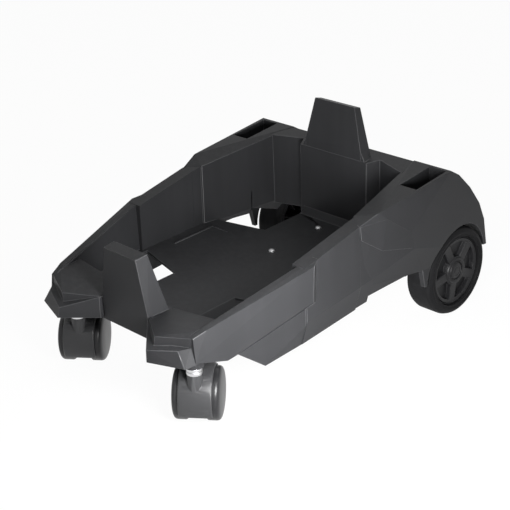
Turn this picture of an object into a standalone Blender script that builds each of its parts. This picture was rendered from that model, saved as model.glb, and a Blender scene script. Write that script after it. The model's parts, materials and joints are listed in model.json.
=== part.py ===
"""Wheeled cradle: a faceted moulded tub on two swivel casters and two fixed rear wheels.

Metres, +Z up, ground at z = 0. The casters lead at -Y and the rear wheels follow at +Y.
The moulding is symmetric about x = 0: the blocks of its right side are repeated as mirror images.
"""

import math
from collections.abc import Callable

import bmesh
import bpy
from mathutils import Matrix, Vector

# Overall driving sizes
LENGTH = 0.548
WIDTH = 0.334
HALF_WIDTH = WIDTH / 2
CLEARANCE = 0.0003
WALL = 0.004
BLEND = 0.0006
STEP = 0.003

# Rear wheels and axle
WHEEL_RADIUS = 0.061
TYRE_WIDTH = 0.040
TYRE_DEPTH = 0.0135
TYRE_SHOULDER = 0.0065
WHEEL_INSET = 0.010
RIM_RECESS = 0.003
RIM_BARREL = 0.005
RIM_WEB = 0.013
HUB_RADIUS = 0.019
POCKET_DEPTH = 0.007
POCKET_COUNT = 5
SPOKE_WIDTH = 0.013
POCKET_PHASE = math.radians(10.0)
POCKET_MARGIN = 0.002
AXLE_RADIUS = 0.006
BUSH_WALL = 0.0025
WASHER_THICKNESS = 0.0015
WASHER_RADIUS = 0.013
RETAINER_THICKNESS = 0.002
RETAINER_RADIUS = 0.011
AXLE_END_STUB = 0.003
CAP_THICKNESS = 0.004
WELL_CLEARANCE = 0.005
LUG_THICKNESS = 0.010
LUG_RADIUS = 0.017
LUG_GAP = 0.009

# Casters
CASTER_INSET = 0.061
CASTER_SETBACK = 0.048
CASTER_TURN = math.radians(38.0)
CASTER_WHEEL_RADIUS = 0.032
CASTER_WHEEL_WIDTH = 0.018
CASTER_WEB = 0.022
CASTER_TRAIL = 0.022
HOOD_WIDTH = 0.040
HOOD_WALL = 0.0025
HOOD_GAP = 0.0007
HOOD_FRONT_ANGLE = math.radians(118.0)
HOOD_BACK_ANGLE = math.radians(70.0)
STEM_RADIUS = 0.0055
STEM_BITE = 0.022
BOSS_RADIUS = 0.009
BOSS_RISE = 0.0025
COLLAR_RADIUS = 0.0095
COLLAR_HEIGHT = 0.009
PIN_RADIUS = 0.003
SOCKET_WALL = 0.0022
SOCKET_DEPTH = 0.024
SOCKET_BOSS_WALL = 0.004

# Floor of the tub
FLOOR_Z = 0.102
FLOOR_RISE = 0.0353
FLOOR_INSET = 0.021
FLOOR_STRIP_HALF_WIDTH = 0.053
WINDOW_INNER_X = 0.054
WINDOW_LENGTH = 0.076
BEAD_WIDTH = 0.003
BEAD_HEIGHT = 0.0016
BEAD_DRAFT = 0.0005
BEAD_INSET = 0.048
BEAD_LENGTH = 0.071
BEAD_RETURN = 0.031
BEAD_GAP = 0.034
NOTCH_SWEEP = 0.020
STUD_RADIUS = 0.0045
STUD_HEIGHT = 0.003
KEEL_DEPTH = 0.034
KEEL_REACH = 0.226

# Front end
DECK_Z = 0.121
FRONT_SKIRT_Z = 0.091
NOSE_BOTTOM_Z = 0.094
NOSE_TIP_INSET = 0.086
NOSE_INSET = 0.039
NOSE_SWEEP = 0.015
NOSE_SETBACK = 0.012
FRONT_WALL_SETBACK = 0.040
DECK_SETBACK = 0.076
FLOOR_SETBACK = 0.094
BAND_TOP_Z = 0.108
FRONT_TONGUE_TOP_Z = 0.192
FRONT_TONGUE_HALF_TOP = 0.028
FRONT_TONGUE_HALF_FOOT = 0.041
FRONT_TONGUE_FLARE = 0.0015
FRONT_TONGUE_LEAN = 0.003
FRONT_TONGUE_THICKNESS = 0.017
FRONT_TONGUE_FOOT_DEPTH = 0.031
APRON_RAKE = 0.001

# Side walls
ARM_LENGTH = 0.191
ARM_RIM = 0.008
RIM_INSET = 0.032
KINK_INSET = 0.006
KINK_STEP = 0.007
KINK_RIM_Z = 0.169
WAIST_INSET = 0.012
WAIST_REACH = 0.199
ARM_FOOT_DROP = 0.002
WAIST_RIM_Z = 0.189
SKIRT_INSET = 0.009

# Rear end
LEDGE_INSET = 0.002
LEDGE_FRONT_REACH = 0.172
LEDGE_REAR_REACH = 0.034
LEDGE_FRONT_Z = 0.199
LEDGE_REAR_Z = 0.2146
PANEL_FRONT_INSET = 0.034
PANEL_REAR_INSET = 0.0555
PANEL_REACH = 0.185
PANEL_FOOT_Z = 0.113
PANEL_RISE = 0.003
REAR_WALL_FOOT_Z = 0.110
REAR_WALL_REACH = 0.070
REAR_CORNER_REACH = 0.055
REAR_TONGUE_REACH = 0.072
NOTCH_REACH = 0.149
REAR_BAY_FLARE = 0.009
REAR_TONGUE_TOP_Z = 0.279
REAR_TONGUE_HALF_TOP = 0.034
REAR_TONGUE_HALF_FOOT = 0.058
REAR_TONGUE_THICKNESS = 0.012
SLOT_INSET = 0.033
SLOT_WIDTH = 0.026
SLOT_LENGTH = 0.060
SLOT_DEPTH = 0.075
FENDER_REACH = 0.072
FENDER_FRONT_REACH = 0.078
FENDER_TOE_LENGTH = 0.022
FENDER_TOE_RAKE = 0.007
ARCH_SKIN = 0.016
WALL_FOOT_CHAMFER = 0.009

# Round pieces are cut into this many sides
WHEEL_SIDES = 40
CASTER_SIDES = 28
SMALL_SIDES = 16
BORE_SIDES = 20

# Places worked out from the sizes
FRONT_Y = -LENGTH / 2
AXLE_Y = LENGTH / 2 - FENDER_REACH
WHEEL_FACE_X = HALF_WIDTH - WHEEL_INSET
CASTER_X = HALF_WIDTH - CASTER_INSET
FLOOR_HALF_WIDTH = HALF_WIDTH - FLOOR_INSET
BEAD_X = HALF_WIDTH - BEAD_INSET
NOSE_TIP_X = HALF_WIDTH - NOSE_TIP_INSET
NOSE_OUTER_X = HALF_WIDTH - NOSE_INSET
RIM_INNER_X = HALF_WIDTH - RIM_INSET
KINK_X = HALF_WIDTH - KINK_INSET
WAIST_X = HALF_WIDTH - WAIST_INSET
LEDGE_X = HALF_WIDTH - LEDGE_INSET
FLARE_X = HALF_WIDTH
PANEL_FRONT_X = HALF_WIDTH - PANEL_FRONT_INSET
PANEL_REAR_X = HALF_WIDTH - PANEL_REAR_INSET
SLOT_INNER_X = HALF_WIDTH - SLOT_INSET
WELL_RADIUS = WHEEL_RADIUS + WELL_CLEARANCE
WHEEL_BACK_X = WHEEL_FACE_X - TYRE_WIDTH
LUG_FACE_X = WHEEL_BACK_X - LUG_GAP
HUB_BACK_X = LUG_FACE_X + WASHER_THICKNESS + 2 * CLEARANCE
CAP_POCKET_X = WHEEL_FACE_X - RIM_RECESS - CAP_THICKNESS - AXLE_END_STUB - 2 * RETAINER_THICKNESS
FRONT_WALL_Y = FRONT_Y + FRONT_WALL_SETBACK
DECK_END_Y = FRONT_Y + DECK_SETBACK
FLOOR_FRONT_Y = FRONT_Y + FLOOR_SETBACK
KINK_Y = FRONT_Y + ARM_LENGTH
WAIST_Y = AXLE_Y - WAIST_REACH
LEDGE_FRONT_Y = AXLE_Y - LEDGE_FRONT_REACH
LEDGE_REAR_Y = AXLE_Y - LEDGE_REAR_REACH
REAR_WALL_Y = AXLE_Y - REAR_WALL_REACH
REAR_CORNER_Y = AXLE_Y - REAR_CORNER_REACH
REAR_TONGUE_Y = AXLE_Y - REAR_TONGUE_REACH
NOTCH_Y = AXLE_Y - NOTCH_REACH
PANEL_Y = AXLE_Y - PANEL_REACH
REAR_BAY_X = REAR_TONGUE_HALF_FOOT + REAR_BAY_FLARE
BORE_RADIUS = AXLE_RADIUS + CLEARANCE
CASTER_Y = FRONT_Y + CASTER_SETBACK
HOOD_INNER = CASTER_WHEEL_RADIUS + HOOD_GAP
HOOD_OUTER = HOOD_INNER + HOOD_WALL
BOSS_TOP_Z = CASTER_WHEEL_RADIUS + HOOD_OUTER + BOSS_RISE
COLLAR_TOP_Z = BOSS_TOP_Z + CLEARANCE + COLLAR_HEIGHT
SOCKET_FOOT_Z = COLLAR_TOP_Z + CLEARANCE
SOCKET_TOP_Z = SOCKET_FOOT_Z + SOCKET_DEPTH
SOCKET_RADIUS = STEM_RADIUS + CLEARANCE + SOCKET_WALL

Point = tuple[float, float, float]


def floor_z(y: float) -> float:
    """Height of the tub floor's top face at y."""
    return FLOOR_Z + FLOOR_RISE * (y - FLOOR_FRONT_Y)


def ledge_z(y: float) -> float:
    """Height of the rear ledge's top face at y."""
    share = (y - LEDGE_FRONT_Y) / (LEDGE_REAR_Y - LEDGE_FRONT_Y)
    return LEDGE_FRONT_Z + share * (LEDGE_REAR_Z - LEDGE_FRONT_Z)


def clear_scene() -> None:
    """Remove every object of the open scene."""
    for obj in list(bpy.data.objects):
        bpy.data.objects.remove(obj, do_unlink=True)


def make_material(name: str, colour: Point, roughness: float, metallic: float) -> bpy.types.Material:
    """A Principled material of one finish."""
    material = bpy.data.materials.new(name)
    material.use_nodes = True
    shader = material.node_tree.nodes["Principled BSDF"]
    shader.inputs["Base Color"].default_value = (*colour, 1.0)
    shader.inputs["Roughness"].default_value = roughness
    shader.inputs["Metallic"].default_value = metallic
    return material


def make_object(name: str, shape: bmesh.types.BMesh, smooth: bool = False) -> bpy.types.Object:
    """Link a new object that holds the given shape, with its faces turned outwards."""
    bmesh.ops.recalc_face_normals(shape, faces=shape.faces)
    mesh = bpy.data.meshes.new(name)
    shape.to_mesh(mesh)
    shape.free()
    if smooth:
        mesh.shade_smooth()
        mesh.set_sharp_from_angle(angle=math.radians(35.0))
    obj = bpy.data.objects.new(name, mesh)
    bpy.context.scene.collection.objects.link(obj)
    return obj


def hull(name: str, points: list[Point]) -> bpy.types.Object:
    """The convex block that wraps the given corner points."""
    shape = bmesh.new()
    for point in points:
        shape.verts.new(point)
    made = bmesh.ops.convex_hull(shape, input=shape.verts)
    spare = [item for item in made["geom_interior"] if isinstance(item, bmesh.types.BMVert)]
    bmesh.ops.delete(shape, geom=spare, context="VERTS")
    bmesh.ops.dissolve_limit(shape, angle_limit=math.radians(0.2), verts=shape.verts, edges=shape.edges)
    return make_object(name, shape)


def prism(name: str, plan: list[tuple[float, float]], low: float, high: float) -> bpy.types.Object:
    """The upright block over a convex plan of (x, y) corners, between two heights."""
    return hull(name, [(x, y, z) for x, y in plan for z in (low, high)])


def plate(
    name: str, outline: list[tuple[float, float]], low: Callable[[float], float], high: Callable[[float], float]
) -> bpy.types.Object:
    """The block over any plan of (x, y) corners, between two heights that follow y."""
    shape = bmesh.new()
    under = [shape.verts.new((x, y, low(y))) for x, y in outline]
    over = [shape.verts.new((x, y, high(y))) for x, y in outline]
    shape.faces.new(under)
    shape.faces.new(over)
    for here in range(len(outline)):
        after = (here + 1) % len(outline)
        shape.faces.new((under[here], under[after], over[after], over[here]))
    return make_object(name, shape)


def turned(
    name: str,
    profile: list[tuple[float, float]],
    sides: int,
    axis: str = "X",
    sweep: float = 2 * math.pi,
    start: float = 0.0,
) -> bpy.types.Object:
    """A solid turned about an axis from a closed profile of (radius, place along the axis)."""
    shape = bmesh.new()
    corners = [shape.verts.new((radius, 0.0, along)) for radius, along in profile]
    edges = [shape.edges.new(pair) for pair in zip(corners, corners[1:] + corners[:1])]
    whole = math.isclose(sweep, 2 * math.pi)
    if not whole:
        shape.faces.new(corners)
    bmesh.ops.rotate(shape, verts=shape.verts, cent=(0, 0, 0), matrix=Matrix.Rotation(start, 3, "Z"))
    last = bmesh.ops.spin(
        shape, geom=edges + corners, cent=(0, 0, 0), axis=(0, 0, 1), angle=sweep, steps=sides, use_merge=whole
    )["geom_last"]
    if not whole:
        ends = [item for item in last if isinstance(item, bmesh.types.BMEdge)]
        bmesh.ops.contextual_create(shape, geom=ends)
    bmesh.ops.remove_doubles(shape, verts=shape.verts, dist=1e-6)
    on_axis = [edge for edge in shape.edges if not edge.link_faces]
    bmesh.ops.delete(shape, geom=on_axis, context="EDGES")
    if axis == "X":
        bmesh.ops.rotate(shape, verts=shape.verts, cent=(0, 0, 0), matrix=Matrix.Rotation(math.pi / 2, 3, "Y"))
    return make_object(name, shape, smooth=True)


def rod(name: str, radius: float, low: float, high: float, sides: int, axis: str = "X") -> bpy.types.Object:
    """A plain round bar between two places along its axis."""
    shape = bmesh.new()
    bmesh.ops.create_cone(
        shape, cap_ends=True, segments=sides, radius1=radius, radius2=radius, depth=high - low
    )
    bmesh.ops.translate(shape, verts=shape.verts, vec=(0, 0, (low + high) / 2))
    if axis == "X":
        bmesh.ops.rotate(shape, verts=shape.verts, cent=(0, 0, 0), matrix=Matrix.Rotation(math.pi / 2, 3, "Y"))
    return make_object(name, shape, smooth=True)


def helper(obj: bpy.types.Object) -> bpy.types.Object:
    """Mark an object as a guide that only shapes another one."""
    obj.hide_render = True
    obj.display_type = "WIRE"
    return obj


def combine(obj: bpy.types.Object, others: list[bpy.types.Object], operation: str) -> None:
    """Add or cut the other objects in one Boolean."""
    group = bpy.data.collections.new(f"{obj.name}_{operation.lower()}_{len(obj.modifiers)}")
    bpy.context.scene.collection.children.link(group)
    for other in others:
        bpy.context.scene.collection.objects.unlink(helper(other))
        group.objects.link(other)
    step = obj.modifiers.new(group.name, "BOOLEAN")
    step.operation = operation
    step.solver = "EXACT"
    step.operand_type = "COLLECTION"
    step.collection = group


def finish(obj: bpy.types.Object, material: bpy.types.Material) -> bpy.types.Object:
    """Give an object its material."""
    obj.data.materials.append(material)
    return obj


def mirrored_x(points: list[Point]) -> list[Point]:
    """The points with their mirror images across x = 0."""
    return points + [(-x, y, z) for x, y, z in points]


def with_twins(objects: list[bpy.types.Object]) -> list[bpy.types.Object]:
    """The objects of the right side with their mirror images on the left."""
    twins = []
    for obj in objects:
        mesh = obj.data.copy()
        mesh.transform(Matrix.Diagonal((-1.0, 1.0, 1.0, 1.0)))
        mesh.flip_normals()
        twin = bpy.data.objects.new(f"{obj.name}_twin", mesh)
        twin.location = (-obj.location.x, obj.location.y, obj.location.z)
        bpy.context.scene.collection.objects.link(twin)
        twins.append(twin)
    return objects + twins


def floor_bead(name: str, low_x: float, high_x: float, low_y: float, high_y: float) -> bpy.types.Object:
    """A low straight bead on the tub floor, drawn in towards its top."""
    return hull(name, [
        (x, y, floor_z(y) + rise)
        for rise, draw in ((-WALL / 2, -BEAD_DRAFT), (BEAD_HEIGHT, BEAD_DRAFT))
        for x in (low_x + draw, high_x - draw)
        for y in (low_y + draw, high_y - draw)
    ])


def floor_blocks() -> list[bpy.types.Object]:
    """Tub floor with its rear strip, the ramp up to the front deck and the raised beads."""
    start = FLOOR_FRONT_Y - WALL
    strip_end = REAR_TONGUE_Y + WALL / 2
    half = [
        (NOSE_OUTER_X + 3 * STEP, start), (FLOOR_HALF_WIDTH, KINK_Y), (FLOOR_HALF_WIDTH, NOTCH_Y - NOTCH_SWEEP),
        (FLOOR_STRIP_HALF_WIDTH, NOTCH_Y), (FLOOR_STRIP_HALF_WIDTH, strip_end),
    ]
    outline = half + [(-x, y) for x, y in reversed(half)]
    floor = plate("floor", outline, lambda y: floor_z(y) - WALL, floor_z)
    foot = floor_z(FLOOR_FRONT_Y)
    ramp = hull("floor_ramp", mirrored_x([
        (NOSE_OUTER_X + STEP, y, z)
        for y, z in (
            (DECK_END_Y - STEP, DECK_Z - 2 * BLEND), (FLOOR_FRONT_Y + STEP, foot - WALL / 2),
            (DECK_END_Y - STEP, DECK_Z - 2 * WALL), (FLOOR_FRONT_Y + BLEND, foot - WALL + BLEND),
        )
    ]))
    bead_end = NOTCH_Y - BEAD_GAP
    bead = floor_bead("floor_bead", BEAD_X - BEAD_WIDTH, BEAD_X, bead_end - BEAD_LENGTH, bead_end)
    bead_return = floor_bead(
        "floor_bead_return", BEAD_X - BEAD_RETURN, BEAD_X - BLEND / 3, bead_end - BEAD_WIDTH, bead_end - BLEND / 3
    )
    keel = hull("floor_keel", [
        (x, y, floor_z(y) - depth)
        for x in (WINDOW_INNER_X - WALL, WINDOW_INNER_X - BLEND)
        for y in (FLOOR_FRONT_Y + STEP, FLOOR_FRONT_Y + KEEL_REACH)
        for depth in (WALL / 2, KEEL_DEPTH)
    ])
    return [floor, ramp, *with_twins([bead, bead_return, keel])]


def front_blocks() -> list[bpy.types.Object]:
    """Front deck and apron, the front tongue and the two-layer nose above the caster."""
    inner_x = FRONT_TONGUE_HALF_FOOT + WALL
    rear_y = DECK_END_Y
    deck = hull("front_deck", mirrored_x([
        (inner_x + 2 * STEP, y, z)
        for y in (FRONT_WALL_Y + STEP, rear_y - BLEND)
        for z in (DECK_Z - BLEND, DECK_Z - WALL)
    ]))
    apron = hull("front_apron", mirrored_x([
        (inner_x + STEP, y, z)
        for y, z in (
            (FRONT_WALL_Y, DECK_Z - BLEND / 2), (FRONT_WALL_Y + APRON_RAKE, FRONT_SKIRT_Z),
            (FRONT_WALL_Y + WALL, DECK_Z - BLEND / 2), (FRONT_WALL_Y + APRON_RAKE + WALL, FRONT_SKIRT_Z),
        )
    ]))
    top_y = FRONT_WALL_Y - FRONT_TONGUE_LEAN
    apron_foot_y = FRONT_WALL_Y + APRON_RAKE - BLEND
    tongue = hull("front_tongue", mirrored_x([
        (FRONT_TONGUE_HALF_TOP, top_y, FRONT_TONGUE_TOP_Z - 0.002),
        (FRONT_TONGUE_HALF_TOP + FRONT_TONGUE_FLARE, top_y + FRONT_TONGUE_THICKNESS, FRONT_TONGUE_TOP_Z),
        (FRONT_TONGUE_HALF_FOOT, FRONT_WALL_Y - BLEND, DECK_Z - WALL / 2),
        (FRONT_TONGUE_HALF_FOOT, apron_foot_y, FRONT_SKIRT_Z + BLEND),
        (FRONT_TONGUE_HALF_FOOT, apron_foot_y + WALL, FRONT_SKIRT_Z + BLEND),
        (
            FRONT_TONGUE_HALF_FOOT + FRONT_TONGUE_FLARE / 2, FRONT_WALL_Y + FRONT_TONGUE_FOOT_DEPTH,
            DECK_Z - WALL / 2,
        ),
    ]))
    outer_y = FRONT_Y + NOSE_SWEEP
    band = hull("nose_band", [
        (NOSE_TIP_X, FRONT_Y, NOSE_BOTTOM_Z),
        (NOSE_TIP_X - 0.002, FRONT_Y + 0.002, BAND_TOP_Z),
        (NOSE_OUTER_X, outer_y, NOSE_BOTTOM_Z + 0.002),
        (NOSE_OUTER_X - 0.012, outer_y + 0.002, BAND_TOP_Z + 0.006),
        (NOSE_OUTER_X + 0.003, outer_y + 0.014, NOSE_BOTTOM_Z + 0.003),
        (NOSE_OUTER_X - 0.004, outer_y + 0.013, BAND_TOP_Z + 0.008),
        (inner_x - STEP / 2, FRONT_WALL_Y - 0.004, NOSE_BOTTOM_Z - 0.001),
        (inner_x - STEP / 2, FRONT_WALL_Y - 0.004, DECK_Z - BLEND / 3),
        (inner_x - STEP / 2, rear_y - STEP, NOSE_BOTTOM_Z),
        (inner_x - STEP / 2, rear_y - STEP, DECK_Z - 2 * BLEND),
        (NOSE_OUTER_X, rear_y - STEP, NOSE_BOTTOM_Z),
        (NOSE_OUTER_X, rear_y - STEP, DECK_Z - WALL),
    ])
    set_back = FRONT_Y + NOSE_SETBACK
    crown = hull("nose_crown", [
        (NOSE_TIP_X + 0.002, set_back, DECK_Z + 0.002),
        (NOSE_TIP_X + 0.001, set_back - 0.001, BAND_TOP_Z + 0.001),
        (NOSE_OUTER_X - 0.002, set_back + 0.0185, DECK_Z + 0.0065),
        (NOSE_OUTER_X - 0.002, set_back + 0.0185, BAND_TOP_Z),
        (NOSE_OUTER_X + 0.003, set_back + 0.034, DECK_Z + 0.0125),
        (NOSE_OUTER_X - 0.003, rear_y - WALL, DECK_Z + 0.013),
        (inner_x, FRONT_WALL_Y - 0.003, DECK_Z),
        (inner_x, FRONT_WALL_Y, BAND_TOP_Z),
        (inner_x, rear_y, DECK_Z),
        (inner_x, rear_y, DECK_Z - WALL),
        (NOSE_OUTER_X - 0.018, rear_y, DECK_Z),
        (NOSE_OUTER_X - 0.003, rear_y, BAND_TOP_Z),
    ])
    boss = rod("socket_boss", SOCKET_RADIUS + SOCKET_BOSS_WALL, SOCKET_FOOT_Z, DECK_Z - WALL, BORE_SIDES, "Z")
    boss.location = (CASTER_X, CASTER_Y, 0.0)
    return [deck, apron, tongue, *with_twins([band, crown, boss])]


def side_blocks() -> list[bpy.types.Object]:
    """Front arm plate, the skirt below it, and the thicker waist wall and flank behind the kink."""
    plate_outer = [
        (NOSE_OUTER_X - 0.001, FRONT_Y + 0.030, DECK_Z + 0.007),
        (NOSE_OUTER_X + 0.004, FRONT_Y + 0.046, DECK_Z + 0.013),
        (KINK_X, KINK_Y, KINK_RIM_Z),
        (NOSE_OUTER_X + 0.003, FRONT_Y + 0.029, NOSE_BOTTOM_Z + 0.005),
        (NOSE_OUTER_X + 0.010, FRONT_Y + 0.071, NOSE_BOTTOM_Z - 0.006),
        (KINK_X - 0.002, KINK_Y, KINK_RIM_Z - 0.047),
        (KINK_X - KINK_STEP, KINK_Y + 0.012, KINK_RIM_Z + 0.004),
        (KINK_X - KINK_STEP, KINK_Y + 0.012, KINK_RIM_Z - 0.050),
    ]
    inner_top = [(x - ARM_RIM, y, z) for x, y, z in plate_outer]
    near_x, near_y, _ = inner_top[0]
    far_x, far_y, _ = inner_top[-1]
    inner_foot = [
        (near_x + (y - near_y) * (far_x - near_x) / (far_y - near_y) - ARM_FOOT_DROP, y, floor_z(y) - ARM_FOOT_DROP)
        for y in (FLOOR_FRONT_Y - STEP, far_y)
    ]
    plate = hull("arm_plate", plate_outer + inner_top + inner_foot)
    skirt_outer = [
        (NOSE_OUTER_X + 0.010, FRONT_Y + 0.086, NOSE_BOTTOM_Z - 0.004),
        (NOSE_OUTER_X + 0.012, FRONT_Y + 0.102, NOSE_BOTTOM_Z - 0.010),
        (NOSE_OUTER_X + 0.017, FRONT_Y + 0.123, NOSE_BOTTOM_Z - 0.032),
        (WAIST_X - 0.007, KINK_Y, NOSE_BOTTOM_Z - 0.026),
        (KINK_X - 0.004, KINK_Y, KINK_RIM_Z - 0.049),
        (WAIST_X + 0.0025, KINK_Y, KINK_RIM_Z - 0.069),
        (NOSE_OUTER_X + 0.012, FRONT_Y + 0.102, NOSE_BOTTOM_Z + 0.004),
    ]
    skirt = hull("arm_skirt", skirt_outer + [(x - ARM_RIM, y, z) for x, y, z in skirt_outer])

    def waist_section(y: float, rim: float, ridge: float, crease: float, foot: float, inset: float) -> list[Point]:
        return [
            (RIM_INNER_X + 2 * inset, y, rim - inset), (WAIST_X - inset, y, rim - inset),
            (WAIST_X + 0.001 - inset, y, ridge), (WAIST_X + 0.003 - inset, y, crease),
            (WAIST_X + 0.003 - SKIRT_INSET - inset, y, foot + inset), (RIM_INNER_X + 2 * inset, y, foot + 0.030),
            (RIM_INNER_X + WALL + inset, y, foot + inset),
        ]

    kink_foot = NOSE_BOTTOM_Z - 0.026
    waist_foot = NOSE_BOTTOM_Z - 0.017
    waist = hull("waist_wall", [
        *waist_section(
            KINK_Y - 0.010, KINK_RIM_Z - 0.001, KINK_RIM_Z - 0.031, KINK_RIM_Z - 0.069, kink_foot, 0.0
        ),
        *waist_section(WAIST_Y, WAIST_RIM_Z, WAIST_RIM_Z - 0.030, WAIST_RIM_Z - 0.078, waist_foot, 0.0),
    ])
    arch_y = AXLE_Y - FENDER_FRONT_REACH
    flank = hull("waist_flank", [
        *waist_section(
            WAIST_Y - STEP, WAIST_RIM_Z - STEP, WAIST_RIM_Z - 0.031, WAIST_RIM_Z - 0.078, waist_foot, BLEND
        ),
        (RIM_INNER_X + STEP, arch_y, PANEL_FOOT_Z + 0.020), (WAIST_X, arch_y, PANEL_FOOT_Z + 0.020),
        (RIM_INNER_X + STEP, arch_y, PANEL_FOOT_Z - 0.010),
        (WAIST_X + 0.002, arch_y, NOSE_BOTTOM_Z + 0.026), (WAIST_X - 0.005, arch_y, NOSE_BOTTOM_Z - 0.007),
        (RIM_INNER_X + 2 * WALL, arch_y, NOSE_BOTTOM_Z - 0.007),
    ])
    corner = hull("waist_corner", [
        (x, y, z)
        for x in (RIM_INNER_X - BLEND / 2, WAIST_X - WALL)
        for y, top in (
            (WAIST_Y - STEP, WAIST_RIM_Z - BLEND), (PANEL_Y - BLEND, WAIST_RIM_Z + PANEL_RISE - BLEND),
        )
        for z in (floor_z(y) - WALL / 2, top)
    ])
    return with_twins([plate, skirt, waist, flank, corner])


def rear_blocks() -> list[bpy.types.Object]:
    """Wheel arch with its flare and ledge, the rear wall and the rear tongue."""
    back_profile = [
        (LEDGE_REAR_Y, LEDGE_REAR_Z), (AXLE_Y - 0.015, LEDGE_REAR_Z - 0.011), (AXLE_Y + 0.014, LEDGE_REAR_Z - 0.037),
        (AXLE_Y + 0.041, LEDGE_REAR_Z - 0.068), (AXLE_Y + 0.058, LEDGE_REAR_Z - 0.097),
        (AXLE_Y + FENDER_REACH, LEDGE_REAR_Z - 0.139),
    ]
    inner_x = LUG_FACE_X - WALL / 2
    panel_foot = floor_z(PANEL_Y) - WALL / 2
    toe_y = AXLE_Y - FENDER_FRONT_REACH
    toe_sides = (WAIST_X - 0.008, WAIST_X + 0.003)
    arch = hull("wheel_arch", [
        (WAIST_X - BLEND, WAIST_Y - BLEND, WAIST_RIM_Z - BLEND),
        (WAIST_X - BLEND, WAIST_Y + STEP, WAIST_RIM_Z - 0.031),
        (LEDGE_X - 0.002, WAIST_Y + 0.041, WAIST_RIM_Z),
        (FLARE_X, WAIST_Y + 0.085, WAIST_RIM_Z - 0.031), (FLARE_X, WAIST_Y + 0.091, WAIST_RIM_Z - 0.056),
        (PANEL_FRONT_X, PANEL_Y, WAIST_RIM_Z + PANEL_RISE), (LEDGE_X - 0.004, LEDGE_FRONT_Y, LEDGE_FRONT_Z),
        (PANEL_FRONT_X, PANEL_Y, panel_foot), (WAIST_X - BLEND, WAIST_Y - BLEND, panel_foot),
        (PANEL_REAR_X, REAR_WALL_Y, PANEL_FOOT_Z),
        *[(inner_x, y, z) for y, z in back_profile],
        *[(LEDGE_X - 0.1 * (LEDGE_REAR_Z - z), y, z) for y, z in back_profile],
        *[(x, toe_y, NOSE_BOTTOM_Z - 0.0045) for x in toe_sides],
    ])
    toe = hull("fender_toe", [
        (x, y, z)
        for x in (toe_sides[0] + BLEND, toe_sides[1] - BLEND)
        for y, z in (
            (toe_y, NOSE_BOTTOM_Z - BLEND), (toe_y + FENDER_TOE_RAKE, WHEEL_RADIUS + 0.002),
            (toe_y + FENDER_TOE_LENGTH, WHEEL_RADIUS + 0.002), (toe_y + FENDER_TOE_LENGTH, NOSE_BOTTOM_Z + STEP),
        )
    ])
    join_x = PANEL_REAR_X + STEP
    half = [
        (REAR_TONGUE_HALF_FOOT, REAR_TONGUE_Y), (REAR_BAY_X, REAR_CORNER_Y), (join_x, REAR_WALL_Y),
        (join_x, LEDGE_REAR_Y - BLEND),
    ]
    outline = half + [(-x, y) for x, y in reversed(half)]
    wall = plate("rear_wall", outline, lambda y: REAR_WALL_FOOT_Z, lambda y: ledge_z(y) - BLEND)
    neck_z = ledge_z(REAR_TONGUE_Y) + 0.012
    front_y = REAR_TONGUE_Y + BLEND / 2
    back_y = front_y + REAR_TONGUE_THICKNESS
    tongue = hull("rear_tongue", mirrored_x([
        (REAR_TONGUE_HALF_FOOT - 0.010, front_y, neck_z - 0.016),
        (REAR_TONGUE_HALF_FOOT - 0.010, front_y, neck_z),
        (REAR_TONGUE_HALF_FOOT - 0.006, back_y + 0.006, neck_z - 0.016),
        (REAR_TONGUE_HALF_TOP, front_y + 0.004, REAR_TONGUE_TOP_Z),
        (REAR_TONGUE_HALF_TOP, back_y + 0.004, REAR_TONGUE_TOP_Z - 0.003),
    ]))
    foot = hull("tongue_foot", mirrored_x([
        (x, y, z)
        for y in (front_y + BLEND / 2, back_y)
        for x, z in (
            (REAR_TONGUE_HALF_FOOT - 0.010, neck_z - BLEND),
            (REAR_TONGUE_HALF_FOOT - BLEND, ledge_z(REAR_TONGUE_Y) - 2 * STEP),
        )
    ]))
    strip_x = FLOOR_STRIP_HALF_WIDTH - BLEND
    chamfer_y = REAR_TONGUE_Y - WALL_FOOT_CHAMFER
    chamfer = hull("wall_foot_chamfer", mirrored_x([
        (strip_x, chamfer_y, floor_z(chamfer_y) - BLEND),
        (strip_x, REAR_TONGUE_Y + BLEND, floor_z(REAR_TONGUE_Y) + WALL_FOOT_CHAMFER),
        (strip_x, REAR_TONGUE_Y + BLEND, floor_z(REAR_TONGUE_Y) - WALL / 2),
    ]))
    return [wall, tongue, foot, chamfer, *with_twins([arch, toe])]


def axle_lug() -> bpy.types.Object:
    """Rib behind the rear wall that carries the axle inboard of the wheel."""
    ring = [
        (AXLE_Y + LUG_RADIUS * math.cos(turn), WHEEL_RADIUS + LUG_RADIUS * math.sin(turn))
        for turn in (2 * math.pi * step / SMALL_SIDES for step in range(SMALL_SIDES))
    ]
    return hull("axle_lug", [
        (x, y, z)
        for x in (LUG_FACE_X - LUG_THICKNESS, LUG_FACE_X)
        for y, z in (*ring, (LEDGE_REAR_Y - WALL, LEDGE_REAR_Z - 0.012), (AXLE_Y + 0.030, LEDGE_REAR_Z - 0.070))
    ])


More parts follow.
